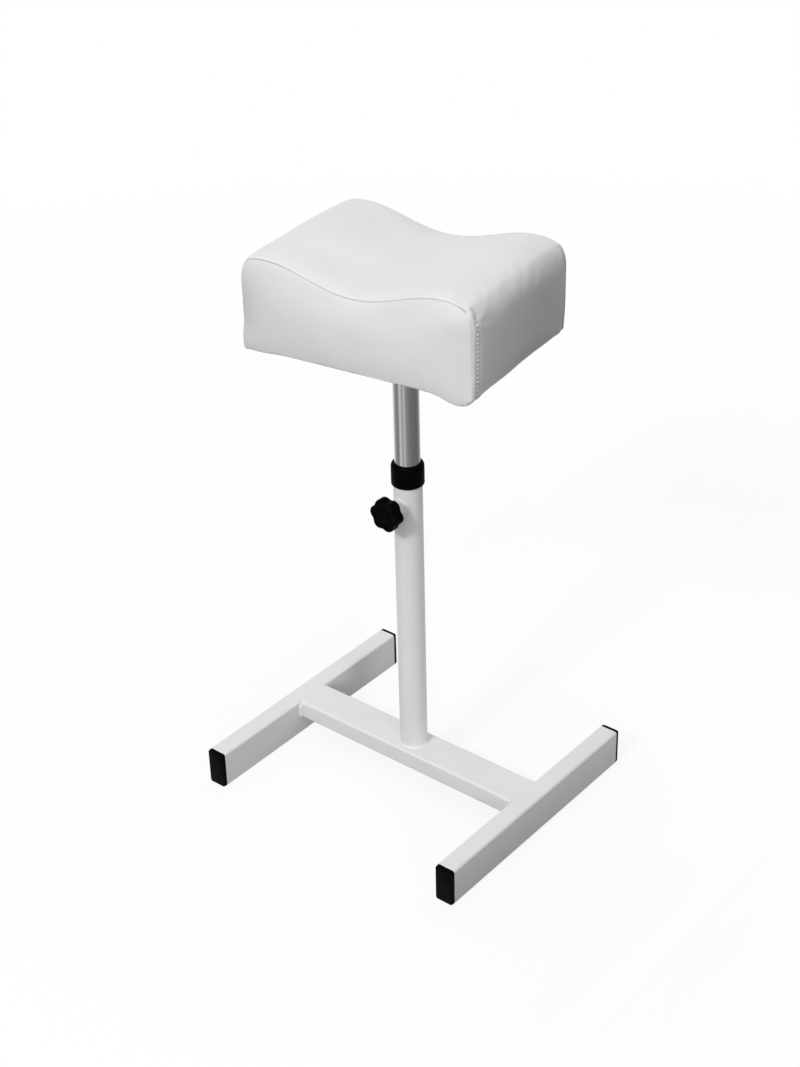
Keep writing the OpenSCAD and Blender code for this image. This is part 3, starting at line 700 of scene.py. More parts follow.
# %% [markdown]
# ## Finishes on the CAD pieces
# A CAD piece whose shape is already right keeps its mesh and only gets its
# finish. Hidden pieces get theirs as well, because the model can be opened.
# The record names a slot for each piece, so one table gives every finish.

# %% Finishes on the CAD pieces
FINISHES = {
    "painted_steel": powder_coated_steel,
    "black_plastic": moulded_black_plastic,
    "chromed_steel": bright_chrome_plate,
    "zinc_plated_steel": zinc_plated_steel,
    "plywood": plywood,
    "foam": foam_yellow,
    "natural_nylon": nylon,
    "white_leathercloth": white_leathercloth,
    "black_felt": black_nonwoven_felt,
}
slot_of = {part["node"]: part["material_slot"] for part in frame["record"]["subparts"]}
for name, node in nodes.items():
    node.material_slots[0].material = FINISHES[slot_of[name]]
print("finished", len(nodes), "CAD pieces")


def finish_piece(piece, body, material, smooth_degrees=35):
    """Gives a new piece its finish and its body."""
    piece.data.materials.clear()
    piece.data.materials.append(material)
    pick(piece)
    bpy.ops.object.shade_smooth_by_angle(angle=math.radians(smooth_degrees))
    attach(piece, body)


# %% [markdown]
# ## Rounded edges
# No moulded or pressed edge is sharp: light always catches a thin line along
# it. A CAD solid has sharp edges, so a merged copy of each such piece gets a
# small bevel and stands in for it.

# %% Rounded edges
PLUGS = ["end_plug_front_left", "end_plug_front_right", "end_plug_rear_left", "end_plug_rear_right"]
# Each piece: its node, the radius of its edges and the body that it rides on
ROUNDED = [(plug, 0.3 * MM, "stand") for plug in PLUGS] + [
    ("post_collar", 0.3 * MM, "stand"),
    ("clamp_boss", 0.6 * MM, "stand"),
    ("top_plate", 0.5 * MM, "pad_head"),
]
MERGE_GAP = 0.001 * MM
PLUG_GROWTH = 1.0 * MM    # the plugs' flanges look thicker than the CAD's
FLAT_WITHIN = math.radians(1)
EDGE_OVER = math.radians(32)


def add_modifier(piece, kind, **settings):
    made = piece.modifiers.new(kind.title(), kind)
    for name, value in settings.items():
        setattr(made, name, value)
    return made


def apply_modifiers(piece):
    """Bakes the piece's modifiers into its mesh, in their order."""
    pick(piece)
    for modifier in list(piece.modifiers):
        bpy.ops.object.modifier_apply(modifier=modifier.name)


def copy_piece(piece, name):
    """A copy of piece with its own mesh."""
    made = bpy.data.objects.new(name, piece.data.copy())
    scene.collection.objects.link(made)
    return made


def thicken_flange(piece):
    """Moves the outer face of an end plug outwards."""
    outer = max(abs(v.co.y) for v in piece.data.vertices)
    for v in piece.data.vertices:
        if abs(v.co.y) > outer - MERGE_GAP:
            v.co.y += math.copysign(PLUG_GROWTH, v.co.y)


def round_edges(name, radius, body):
    piece = copy_piece(nodes[name], name + "_rounded")
    edit_selected(piece, "VERT", lambda v: True)
    bpy.ops.mesh.customdata_custom_splitnormals_clear()
    bpy.ops.mesh.remove_doubles(threshold=MERGE_GAP)
    bpy.ops.mesh.dissolve_limited(angle_limit=FLAT_WITHIN)
    close_edit()
    if name in PLUGS:
        thicken_flange(piece)
    add_modifier(piece, "BEVEL", width=radius, segments=3, limit_method="ANGLE", angle_limit=EDGE_OVER,
                 use_clamp_overlap=True)
    apply_modifiers(piece)
    finish_piece(piece, body, FINISHES[slot_of[name]])
    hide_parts(name)
    print(piece.name, len(piece.data.polygons), "faces")


for name, radius, body in ROUNDED:
    round_edges(name, radius, body)

# %% [markdown]
# ## Weld beads
# The base is welded by hand with a wire-fed torch, which lays the metal down
# in overlapping ripples. The paint softens them but they still show. A bead
# could be a bumped tube, but the ripples also break its outline, so each one
# is shaped in the mesh: a rod or a ring that swells every two millimetres.

# %% Weld beads
RIPPLE_PITCH = 2.2 * MM
RIPPLE_SHARE = 0.1        # how much a ripple swells the bead
RIPPLE_BOW = 0.5          # how far a ripple is bowed, as a share of the bead's radius
RINGS_PER_RIPPLE = 6
ROD_SIDES = 16
ROD_END_POWER = 10        # a higher power makes the rod's ends blunter
ROD_END_SHARE = 0.35      # the thickness at the very end
UNIT_RING = 0.1           # thickness of the ring that is shaped into a bead


def ripple(distance):
    """Swelling of a bead at a distance along it, about 1 on average."""
    return 1 + RIPPLE_SHARE * (abs(math.sin(math.pi * distance / RIPPLE_PITCH)) - 0.5)


def edge_run(piece, edge, axis):
    """How far an edge of piece runs along X, Y or Z, which are 0, 1 and 2."""
    first, second = (piece.data.vertices[i].co for i in edge.vertices)
    return abs(first[axis] - second[axis])


def straight_bead(length, radius, rippled=True):
    """A rod along Z from the origin, with round ends."""
    bpy.ops.mesh.primitive_cylinder_add(vertices=ROD_SIDES, radius=1, depth=1, location=(0, 0, 0))
    bead = bpy.context.object
    edit_selected(bead, "EDGE", lambda e: edge_run(bead, e, 2) > 0.5)
    bpy.ops.mesh.subdivide(number_cuts=round(length / RIPPLE_PITCH * RINGS_PER_RIPPLE))
    close_edit()
    for v in bead.data.vertices:
        share = v.co.z + 0.5
        along = share * length
        bow = RIPPLE_BOW * radius * (v.co.x ** 2 - 1)
        end = math.sqrt(max(0, 1 - (2 * share - 1) ** ROD_END_POWER))
        swell = radius * max(ROD_END_SHARE, end) * (ripple(along) if rippled else 1)
        v.co = (v.co.x * swell, v.co.y * swell, along + bow)
    return bead


def ring_bead(radius, thick, path):
    """A rippled ring. path gives its centre line at an angle."""
    bpy.ops.mesh.primitive_torus_add(major_radius=1, minor_radius=UNIT_RING,
                                     major_segments=220, minor_segments=14)
    bead = bpy.context.object
    for v in bead.data.vertices:
        angle = math.atan2(v.co.y, v.co.x)
        out = (v.co.xy.length - 1) / UNIT_RING
        up = v.co.z / UNIT_RING
        swell = thick * ripple(angle * radius)
        v.co = path(angle, out * swell, up * swell)
    return bead


def finish_bead(bead, name, node):
    bead.name = name
    finish_piece(bead, "stand", powder_coated_steel, smooth_degrees=60)
    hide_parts(node)
    print(name, len(bead.data.polygons), "faces")


# %% [markdown]
# ## Beads of the cross bar
# The bar is welded to each rail along its two upright sides and underneath.
# On top the weld is ground flush, so there the rod is smooth and pressed
# flat. The rods lie in the corners that the CAD's boxes give.

# %% Beads of the cross bar
BEAD_R = 3.0 * MM
FLUSH_R = 3.2 * MM
FLUSH_FLAT = 0.34         # how flat the ground bead is pressed
FLUSH_OUT = 0.8 * MM
FLUSH_PROUD = 0.06 * MM
BAR_CORNER_R = 2.5 * MM
LYING = Matrix.Rotation(math.pi / 2, 4, "X")


def join_pieces(pieces, name):
    """Joins the pieces into one object, which gets the name."""
    pick(pieces[0])
    for piece in pieces:
        piece.select_set(True)
    bpy.ops.object.join()
    pieces[0].name = name
    return pieces[0]


bar_low, bar_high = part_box("cross_bar")
upright_bead_len = bar_high.z - bar_low.z - 2 * BAR_CORNER_R
level_bead_len = bar_high.y - bar_low.y - 2 * BAR_CORNER_R
flush_len = level_bead_len + FLUSH_R
beads = []
for side_x in (bar_low.x, bar_high.x):
    for side_y in (bar_low.y, bar_high.y):
        bead = straight_bead(upright_bead_len, BEAD_R)
        place_mesh(bead, Matrix.Translation((side_x, side_y, bar_low.z + BAR_CORNER_R)))
        beads.append(bead)
    under = straight_bead(level_bead_len, BEAD_R)
    place_mesh(under, Matrix.Translation((side_x, level_bead_len / 2, bar_low.z)) @ LYING)
    beads.append(under)
    flush = straight_bead(flush_len, FLUSH_R, rippled=False)
    flush_x = side_x + math.copysign(FLUSH_OUT, side_x)
    flush_z = bar_high.z + FLUSH_PROUD - FLUSH_R * FLUSH_FLAT
    pressed = Matrix.Scale(FLUSH_FLAT, 4, (0, 0, 1))
    place_mesh(flush, Matrix.Translation((flush_x, flush_len / 2, flush_z)) @ pressed @ LYING)
    beads.append(flush)
finish_bead(join_pieces(beads, "corner_weld_ripples"), "corner_weld_ripples", "rail_weld_beads")

# %% [markdown]
# ## Beads of the post and the boss
# Round the foot of the post and round the boss the torch went full circle.
# At the foot the bead is a level ring. At the boss it follows the line where
# one round tube meets another, so its centre line is worked out from both
# radii.

# %% Beads of the post and the boss
FOOT_BEAD_R = 1.3 * MM
BOSS_BEAD_R = 1.6 * MM
post_low, post_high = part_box("outer_post")
boss_low, boss_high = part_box("clamp_boss")
POST_R = post_high.x
BOSS_R = boss_high.x
BOSS_Z = (boss_low.z + boss_high.z) / 2


def foot_seam(angle, out, up):
    """Centre line where the post meets the bar."""
    return ((POST_R + out) * math.cos(angle), (POST_R + out) * math.sin(angle), post_low.z + up)


def boss_seam(angle, out, up):
    """Centre line where the boss meets the round post."""
    x = (BOSS_R + out) * math.cos(angle)
    z = (BOSS_R + out) * math.sin(angle)
    return (x, -math.sqrt(POST_R ** 2 - x ** 2) - up, BOSS_Z + z)


finish_bead(ring_bead(POST_R, FOOT_BEAD_R, foot_seam), "post_foot_weld_ripples", "post_weld_bead")
boss_bead = ring_bead(BOSS_R, BOSS_BEAD_R, boss_seam)
edit_selected(boss_bead, "VERT", lambda v: True)
bpy.ops.mesh.normals_make_consistent(inside=False)
close_edit()
finish_bead(boss_bead, "boss_weld_ripples", "boss_weld_bead")

# %% [markdown]
# ## Turning a profile
# A round moulding is quickest made like a lathe part: a ring is extruded
# upwards and resized again and again, as its profile asks. A spin would do
# the same from a drawn line, but it leaves a seam to merge at its start.

# %% Turning a profile
ARC_STEPS = 5


def arc(centre, radius, first, last):
    """Points of an arc in a profile, in degrees from straight out to straight up."""
    angles = [math.radians(first + (last - first) * i / ARC_STEPS) for i in range(ARC_STEPS + 1)]
    return [(centre[0] + radius * math.cos(a), centre[1] + radius * math.sin(a)) for a in angles]


def turned(profile, segments):
    """Turns a profile of (radius, height) points, given from the foot to the top, about Z."""
    bpy.ops.mesh.primitive_circle_add(vertices=segments, radius=profile[0][0], fill_type="NOTHING",
                                      location=(0, 0, 0))
    piece = bpy.context.object
    bpy.ops.object.mode_set(mode="EDIT")
    bpy.ops.mesh.select_all(action="SELECT")
    bpy.ops.transform.translate(value=(0, 0, profile[0][1]))
    bpy.ops.mesh.edge_face_add()
    bpy.ops.mesh.select_all(action="SELECT")
    for before, after in zip(profile, profile[1:]):
        bpy.ops.mesh.extrude_region_move(TRANSFORM_OT_translate={"value": (0, 0, after[1] - before[1])})
        share = after[0] / before[0]
        bpy.ops.transform.resize(value=(share, share, 1), center_override=(0, 0, 0))
    bpy.ops.mesh.select_all(action="SELECT")
    bpy.ops.mesh.normals_make_consistent(inside=False)
    bpy.ops.object.mode_set(mode="OBJECT")
    return piece


print("an arc takes", len(arc((0, 0), MM, 0, 90)), "points")

# %% [markdown]
# ## The star knob
# The knob is one moulding with six soft lobes, a dished face and a neck that
# stands on the boss. It is turned first, and the hollows between the lobes
# are then pressed in. They fade out towards the hub and the neck, as they do
# in the real mould.

# %% The star knob
KNOB_SEGMENTS = 144
NECK_LEN = 2 * MM
NECK_R = 7.5 * MM
EDGE_R = 2.4 * MM
CAP_R = 7.2 * MM          # the cap in the middle of the face, up to its rounded edge
CAP_EDGE_R = 0.8 * MM
CAP_DROP = 1.1 * MM       # how far below the top the edge's centre lies
LOBES = 6
LOBE_TURN = math.radians(-6)
HOLLOW = 2.3 * MM
HOLLOW_POWER = 1.4        # a power above 1 makes the hollows narrower than the lobes
KNOB_FULL_R = 14 * MM     # beyond this radius the hollows have their full depth
KNOB_HUB_R = 9 * MM       # within this radius there are none

knob_low, knob_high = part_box("star_knob")
KNOB_R = (knob_high.z - knob_low.z) / 2
KNOB_Z = (knob_high.z + knob_low.z) / 2
HEAD_TOP = knob_high.y - knob_low.y
# The dish round the cap and the cap's crown: radius, and depth below the top
DISH = [(KNOB_R - 1.4 * EDGE_R, 0.2 * MM), (KNOB_R - 2 * EDGE_R, 0.9 * MM),
        (9.2 * MM, 1.2 * MM), (8.4 * MM, 1.2 * MM)]
CAP_CROWN = [(4 * MM, 0.1 * MM), (1 * MM, 0)]


def held(value):
    """The value, kept between 0 and 1."""
    return min(1, max(0, value))


knob_profile = [(NECK_R, 0), (NECK_R, NECK_LEN)]
knob_profile += arc((KNOB_R - EDGE_R, NECK_LEN + EDGE_R), EDGE_R, -90, 0)
knob_profile += arc((KNOB_R - EDGE_R, HEAD_TOP - EDGE_R), EDGE_R, 0, 90)
knob_profile += [(radius, HEAD_TOP - depth) for radius, depth in DISH]
knob_profile += arc((CAP_R, HEAD_TOP - CAP_DROP), CAP_EDGE_R, 0, 90)
knob_profile += [(radius, HEAD_TOP - depth) for radius, depth in CAP_CROWN]

star_knob = turned(knob_profile, KNOB_SEGMENTS)
star_knob.name = "star_knob_moulding"
for v in star_knob.data.vertices:
    share = held((v.co.xy.length - KNOB_HUB_R) / (KNOB_FULL_R - KNOB_HUB_R))
    wave = (1 - math.cos(LOBES * (math.atan2(v.co.y, v.co.x) - LOBE_TURN))) / 2
    kept = 1 - HOLLOW * wave ** HOLLOW_POWER * share / KNOB_R
    v.co = (v.co.x * kept, v.co.y * kept, v.co.z)
place_mesh(star_knob, Matrix.Translation((0, knob_high.y, KNOB_Z)) @ LYING)
finish_piece(star_knob, "clamp_knob", moulded_black_plastic, smooth_degrees=50)
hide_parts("star_knob")
print("knob", len(star_knob.data.polygons), "faces")

# %% [markdown]
# ## The pad's size
# The cover is sewn from three panels: a long strip over the top and both
# ends, and a wave-shaped panel on each side. The pad stands turned on its
# post, so it is modelled straight, in its own directions, and turned into
# place at the end. Its length and width are read from the CAD's strip.

# %% The pad's size
PAD_TURN = math.radians(8)
HUMP_H = 91.5 * MM
VALLEY_H = 73.5 * MM
ROUND_LEN = 29 * MM       # the rounding of the shoulders, along the pad and down its end
ROUND_H = 28 * MM
ROUND_POWER = 0.71        # below 1 the rounding is fuller than an ellipse
FOOT_R = 5 * MM
SEAM_DROP = 1.8 * MM      # how far the seams lie below the strip
CROWN = 0.8 * MM          # how much higher the strip is in the middle of its width

strip_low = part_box("cover_strip")[0]
from_pad = Matrix.Translation((0, 0, strip_low.z)) @ Matrix.Rotation(PAD_TURN, 4, "Z")
to_pad = from_pad.inverted()
strip_places = [to_pad @ v.co for v in nodes["cover_strip"].data.vertices]
HALF_LEN = max(p.x for p in strip_places) - CROWN
SEAM_Y = max(p.y for p in strip_places)
print("pad", round(2 * HALF_LEN / MM), "x", round(2 * SEAM_Y / MM), "mm between its seams")

# %% [markdown]
# ## The pad's section
# Seen from the front, the pad is two humps with a valley between them,
# rounded shoulders and upright ends. A cosine gives the wave and a fuller
# kind of ellipse the shoulders, so the shape needs only its few sizes. A
# point inside the section is blended from the four sides round it.

# %% The pad's section
OUTLINE_STEPS = 200


def outline():
    """Right half of the section, from the middle of the top round to the middle of the underside."""
    hump_x = HALF_LEN - ROUND_LEN
    rise = (HUMP_H - VALLEY_H) / 2
    wall_top = HUMP_H - SEAM_DROP - ROUND_H
    wall_x = HALF_LEN - SEAM_DROP
    shares = [i / OUTLINE_STEPS for i in range(OUTLINE_STEPS + 1)]
    wave = [(hump_x * s, VALLEY_H - SEAM_DROP + rise * (1 - math.cos(math.pi * s))) for s in shares]
    end = [(hump_x + (wall_x - hump_x) * math.sin(math.pi / 2 * s) ** ROUND_POWER,
            wall_top + ROUND_H * max(0, math.cos(math.pi / 2 * s)) ** ROUND_POWER) for s in shares[1:]]
    foot = [(wall_x - FOOT_R + FOOT_R * math.cos(math.pi / 2 * s),
             FOOT_R - FOOT_R * math.sin(math.pi / 2 * s)) for s in shares]
    return wave + end + foot + [(0, 0)], len(wave) + len(end) // 2, len(wave + end) + len(foot) // 2


points, top_corner, foot_corner = outline()
lengths = [0]
for before, after in zip(points, points[1:]):
    lengths.append(lengths[-1] + math.dist(before, after))
TOP_LEN = lengths[top_corner]
FOOT_LEN = lengths[foot_corner]
ALL_LEN = lengths[-1]
WALL_LEN = FOOT_LEN - TOP_LEN


def on_outline(distance):
    """The point of the outline at a distance along it."""
    low, high = 0, len(lengths) - 1
    while high - low > 1:
        middle = (low + high) // 2
        low, high = (middle, high) if lengths[middle] <= distance else (low, middle)
    share = (distance - lengths[low]) / (lengths[high] - lengths[low])
    return Vector(points[low]).lerp(Vector(points[high]), share)


def mirrored(point, side):
    return Vector((point.x * side, point.y))


def in_section(u, v):
    """A point of the section, for u from -1 at the left end to 1 and v from -1 at the foot to 1."""
    side = 1 if u >= 0 else -1
    top = mirrored(on_outline(abs(u) * TOP_LEN), side)
    foot = mirrored(on_outline(ALL_LEN - abs(u) * (ALL_LEN - FOOT_LEN)), side)
    right = on_outline(FOOT_LEN - (v + 1) / 2 * WALL_LEN)
    left = mirrored(right, -1)
    high, low = on_outline(TOP_LEN), on_outline(FOOT_LEN)
    s, t = (u + 1) / 2, (v + 1) / 2
    corners = (mirrored(low, -1) * (1 - s) * (1 - t) + low * s * (1 - t)
               + mirrored(high, -1) * (1 - s) * t + high * s * t)
    return foot * (1 - t) + top * t + left * (1 - s) + right * s - corners


print("the strip runs", round(2 * FOOT_LEN / MM), "mm from foot to foot")

# %% [markdown]
# ## Rows along the seams
# The cover starts as a box whose faces are cut into rows. Grooves and
# stitches are only a millimetre or two wide, so the rows lie close together
# beside each seam and spread out evenly further in. An even fine grid would
# show them too, with many times the faces.

# %% Rows along the seams
# Distances of the narrow rows from a seam, the stitches being on the row STITCH_ROW
SEAM_STEPS = [x * MM for x in (0, 1.0, 2.1, 3.3, 4.5, 5.7, 7.2, 9.8)]
STITCH_ROW = 5
ROWS_LONG, ROWS_WIDE, ROWS_HIGH = 56, 44, 30
SAME_PLACE = 1e-4


def is_near(value, other):
    return abs(value - other) < SAME_PLACE


def seam_distance(place, rows, length):
    """Distance from the nearer end of a side, for a place from -1 to 1 in evenly numbered rows."""
    near = (1 - abs(place)) / 2 * rows
    last = len(SEAM_STEPS) - 1
    if near >= last:
        return SEAM_STEPS[last] + (near - last) / (rows / 2 - last) * (length / 2 - SEAM_STEPS[last])
    row = int(near)
    return SEAM_STEPS[row] + (near - row) * (SEAM_STEPS[row + 1] - SEAM_STEPS[row])


def spread(place, rows, length):
    """Where a row really lies on its side, from -1 to 1."""
    return math.copysign(1 - 2 * seam_distance(place, rows, length) / length, place)


def box_of_rows():
    """A box cut into rows along its three directions. Each vertex keeps its place on the box."""
    bpy.ops.mesh.primitive_cube_add(size=2, location=(0, 0, 0))
    box = bpy.context.object
    for axis, rows in enumerate((ROWS_LONG, ROWS_WIDE, ROWS_HIGH)):
        edit_selected(box, "EDGE", lambda e: edge_run(box, e, axis) > 1)
        bpy.ops.mesh.subdivide(number_cuts=rows - 1)
        close_edit()
    kept = box.data.attributes.new("box_place", "FLOAT_VECTOR", "POINT")
    for v in box.data.vertices:
        kept.data[v.index].vector = v.co
    return box


def places_on_box(piece):
    return [Vector(x.vector) for x in piece.data.attributes["box_place"].data]


cover = box_of_rows()
cover.name = "pad_cover_form"
print("cover form", len(cover.data.polygons), "faces")

# %% [markdown]
# ## How far the cover stands out
# Between its seams the strip is crowned, and on the ends it stands out a
# little more, where the foam is pressed against it. A side panel swells
# most above its middle. At the rear the foam is worn, so the edge of the top
# sags. Each of these is a smooth curve across the panel.

# %% How far the cover stands out
DROP_WIDE = 5 * MM        # the width over which the strip rounds down to a seam
DROP_WIDE_END = 15 * MM   # the width of a second, softer rounding on the ends
DROP_POWER = 3
END_SWELL = {1: 2.4 * MM, -1: 0.4 * MM}      # how much further the right and left ends stand out
END_FROM = 0.7            # where the top starts to turn into the ends, from 0 in the middle to 1
END_FULL = 18 * MM        # above this height the ends stand out fully
PANEL_SWELL = 3.4 * MM    # how far a side panel stands out between its seams
SWELL_POWER = 4
SWELL_PEAK = 0.35         # where a side panel stands out most, from -1 at the foot to 1 at the top
REAR_SAG = 3.8 * MM       # how much lower the worn rear edge of the top is
SAG_FROM = -0.1           # where the sag starts, from -1 at the front to 1 at the rear


def outline_normal(distance):
    """Outward direction of the outline at a distance along it."""
    near = ALL_LEN / OUTLINE_STEPS / 4
    step = on_outline(min(ALL_LEN, distance + near)) - on_outline(max(0, distance - near))
    return Vector((-step.y, step.x)).normalized() if step.length else Vector((0, 1))


def smooth(share):
    """From 0 to 1, level at both ends."""
    return share * share * (3 - 2 * share)


def strip_lift(y, end, side):
    """How far the strip stands above the seams, at y across it. end is 1 on the ends, 0 on the top."""
    near = max(0, 1 - (SEAM_Y - abs(y)) / DROP_WIDE_END)
    edge = max(0, 1 - (SEAM_Y - abs(y)) / DROP_WIDE)
    swell = SEAM_DROP * (1 - edge ** DROP_POWER) + END_SWELL[side] * end * (1 - near ** DROP_POWER)
    return swell + CROWN * (1 - (y / SEAM_Y) ** 2)


def panel_swell(u, v):
    """How far a side panel stands out, at u along and v up from -1 to 1."""
    height = (v - SWELL_PEAK) / (1 - SWELL_PEAK if v > SWELL_PEAK else 1 + SWELL_PEAK)
    return PANEL_SWELL * math.sqrt(1 - abs(u) ** SWELL_POWER) * (1 - height ** 2)


def rounded_foot(y, z):
    """Rounds the edge between a side panel and the underside."""
    to_side = SEAM_Y - abs(y)
    if to_side >= FOOT_R or z >= FOOT_R:
        return y, z
    across, down = FOOT_R - to_side, FOOT_R - z
    size = math.hypot(across, down)
    if size == 0:
        return y, z
    shrink = max(across, down) / size
    return math.copysign(SEAM_Y - FOOT_R + across * shrink, y), FOOT_R - down * shrink


print("the right end stands out", round(strip_lift(0, 1, 1) / MM, 1), "mm from its seams")

# %% [markdown]
# ## The pad's form
# Each point of the box is moved to its place on the wave, a little inside
# the finished size, because the cover will swell. One function does it, from
# the section, the rows and the curves above.

# %% The pad's form
def pad_place(a, b, c):
    """The place on the pad of a point of the box."""
    u = spread(a, ROWS_LONG, 2 * TOP_LEN)
    v = spread(c, ROWS_HIGH, WALL_LEN)
    flat = in_section(u, v)
    y, z = rounded_foot(spread(b, ROWS_WIDE, 2 * SEAM_Y) * SEAM_Y, flat.y)
    x = flat.x
    on_top, on_end = is_near(c, 1), is_near(abs(a), 1)
    if is_near(abs(b), 1):
        y += math.copysign(panel_swell(u, v), b)
    elif on_top or (on_end and c > -1):
        distance = abs(u) * TOP_LEN if on_top else FOOT_LEN - (v + 1) / 2 * WALL_LEN
        if on_end:
            end = min(1, flat.y / END_FULL)
        else:
            end = smooth(max(0, (abs(a) - END_FROM) / (1 - END_FROM)))
        out = outline_normal(distance) * strip_lift(y, end, 1 if a > 0 else -1)
        x += math.copysign(out.x, u)
        z += max(0, out.y)
    rearward = held((y / SEAM_Y - SAG_FROM) / (1 - SAG_FROM))
    return Vector((x, y, z - REAR_SAG * rearward ** 2 * (z / HUMP_H) ** 2))


box_places = places_on_box(cover)
for v, place in zip(cover.data.vertices, box_places):
    v.co = pad_place(*place)
print("cover form up to", round(max(v.co.z for v in cover.data.vertices) / MM, 1), "mm high")

# %% [markdown]
# ## Swelling the cover
# Foam presses a sewn cover outwards everywhere but at its seams, where the
# thread holds it. A cloth simulation with pressure does the same: the seams,
# the stitched rows of the ends and the underside are pinned, and the rest
# swells. The foam is firm, so how far a point may move is capped.

# %% Swelling the cover
PRESSURE = 4
STRETCH_STIFFNESS = 5
BENDING_STIFFNESS = 0.5
SWELL_FRAMES = 20
CAP_TOP, CAP_END, CAP_SIDE = 0.6 * MM, 0.6 * MM, 1.0 * MM


def on_seam(place):
    return is_near(abs(place.y), 1) and (is_near(abs(place.x), 1) or is_near(place.z, 1))


def on_stitched_end(place):
    row = 1 - 2 * STITCH_ROW / ROWS_WIDE
    return is_near(abs(place.y), row) and is_near(abs(place.x), 1)


def pinned(vertex, place):
    return on_seam(place) or on_stitched_end(place) or vertex.co.z < FOOT_R / 2


def swell_by_cloth(piece):
    pins = piece.vertex_groups.new(name="pins")
    pins.add([v.index for v in piece.data.vertices if pinned(v, box_places[v.index])], 1.0, "REPLACE")
    cloth = add_modifier(piece, "CLOTH")
    cloth.settings.vertex_group_mass = "pins"
    cloth.settings.tension_stiffness = STRETCH_STIFFNESS
    cloth.settings.compression_stiffness = STRETCH_STIFFNESS
    cloth.settings.bending_stiffness = BENDING_STIFFNESS
    cloth.settings.use_pressure = True
    cloth.settings.uniform_pressure_force = PRESSURE
    cloth.settings.effector_weights.gravity = 0
    cloth.point_cache.frame_start = 1
    cloth.point_cache.frame_end = SWELL_FRAMES
    for step in range(1, SWELL_FRAMES + 1):
        scene.frame_set(step)
    apply_modifiers(piece)
    scene.frame_set(1)


def limit_swelling(piece, starts, normals):
    """Caps how far each point moved, smoothly, by the way it faces."""
    most = 0
    for v, start, normal in zip(piece.data.vertices, starts, normals):
        moved = v.co - start
        cap = CAP_END * normal.x ** 2 + CAP_SIDE * normal.y ** 2 + CAP_TOP * normal.z ** 2
        if moved.length > 0:
            most = max(most, moved.length)
            v.co = start + moved.normalized() * cap * math.tanh(moved.length / cap)
    return most


cover.data.update()
starts = [v.co.copy() for v in cover.data.vertices]
normals = [v.normal.copy() for v in cover.data.vertices]
swell_by_cloth(cover)
print("cover swelled by", round(limit_swelling(cover, starts, normals) / MM, 1), "mm before the cap")

add_modifier(cover, "SUBSURF", levels=1, render_levels=1)
apply_modifiers(cover)
box_places = places_on_box(cover)

# %% [markdown]
# ## Seams
# Where two panels meet, both turn in, which leaves a narrow groove. Beside
# it the turned-in edges are stitched down, which pulls a shallow channel.
# Down the upright corners the groove closes up, and only the stitches show.
# Each point knows its distance from the seam, so a curve of that distance
# sinks it.

# %% Seams
SEAM_FADE = 0.2           # over this share of its height the groove fades down an upright corner
GROOVE_WIDE, GROOVE_DEEP = 1.1 * MM, 1.0 * MM
CHANNEL_WIDE, CHANNEL_TOP, CHANNEL_END = 2.8 * MM, 0.25 * MM, 0.8 * MM


def bell(distance, width):
    """1 at no distance, fading out over about width."""
    return math.exp(-(distance / width) ** 2)


def is_side_panel(place):
    return is_near(abs(place.y), 1)


def from_seam(place):
    """Distance along the surface from the nearest seam, and whether the point is on the strip."""
    if is_side_panel(place):
        across = seam_distance(place.x, ROWS_LONG, 2 * TOP_LEN)
        up = seam_distance(place.z, ROWS_HIGH, WALL_LEN) if place.z > 0 else across
        return min(across, up), False
    return seam_distance(place.y, ROWS_WIDE, 2 * SEAM_Y), True


def seam_shows(place):
    """How plainly the nearest seam shows: fully along the top, fading out down the upright corners."""
    on_upright = is_near(abs(place.x), 1) or (is_side_panel(place) and abs(place.x) > abs(place.z))
    return max(0, 1 - (1 - place.z) / SEAM_FADE) if on_upright else 1


def sunk(place):
    """How deep the seams pull the surface in at a point."""
    away, strip = from_seam(place)
    if is_near(place.z, -1):
        return 0
    depth = seam_shows(place) * GROOVE_DEEP * max(0, 1 - away / GROOVE_WIDE)
    if strip:
        deep = CHANNEL_END if is_near(abs(place.x), 1) else CHANNEL_TOP
        depth += deep * bell(away - SEAM_STEPS[STITCH_ROW], CHANNEL_WIDE)
    return depth


print("a seam sinks", round(sunk(Vector((0, 1, 1))) / MM, 1), "mm on top")

# %% [markdown]
# ## Gathers and corners
# At the bottom corners the spare cloth is gathered under the board and hangs
# a few millimetres low, most of all at the front right. The rear corner of
# the right end hangs low too. Higher up, each corner is drawn in or pushed
# out a little, as the cloth was pulled when it was stapled. No two corners
# of the real pad are alike, so each has its own row in a table.

# %% Gathers and corners
# Each bottom corner: side in X, side in Y, how far it hangs, how far its tip is tucked up
GATHERS = [
    (1, -1, 6.5 * MM, 3.2 * MM),
    (-1, -1, 2.0 * MM, -2.2 * MM),
    (1, 1, 1.6 * MM, 2.0 * MM),
    (-1, 1, 1.6 * MM, 2.4 * MM),
]
GATHER_IN, GATHER_LONG, GATHER_WIDE, GATHER_HIGH = 17 * MM, 17 * MM, 12 * MM, 16 * MM
TUCK_SIZE = 6 * MM
FRONT_SAG = 0.8 * MM      # the front panel hangs this little below the board
END_DROP = 3.4 * MM       # how far the rear corner of the right end hangs below it
# Each upright corner: side in X, side in Y, how far it is drawn in along X and Y, and over what width
CORNERS = [
    (-1, -1, 1.0 * MM, 1.6 * MM, 14 * MM),
    (1, -1, 0.1 * MM, 0.2 * MM, 7 * MM),
    (1, 1, -0.8 * MM, 0.2 * MM, 10 * MM),
    (-1, 1, 0.2 * MM, 1.2 * MM, 8 * MM),
]
CORNER_FROM, CORNER_FULL = 12 * MM, 26 * MM    # the pull starts above the board


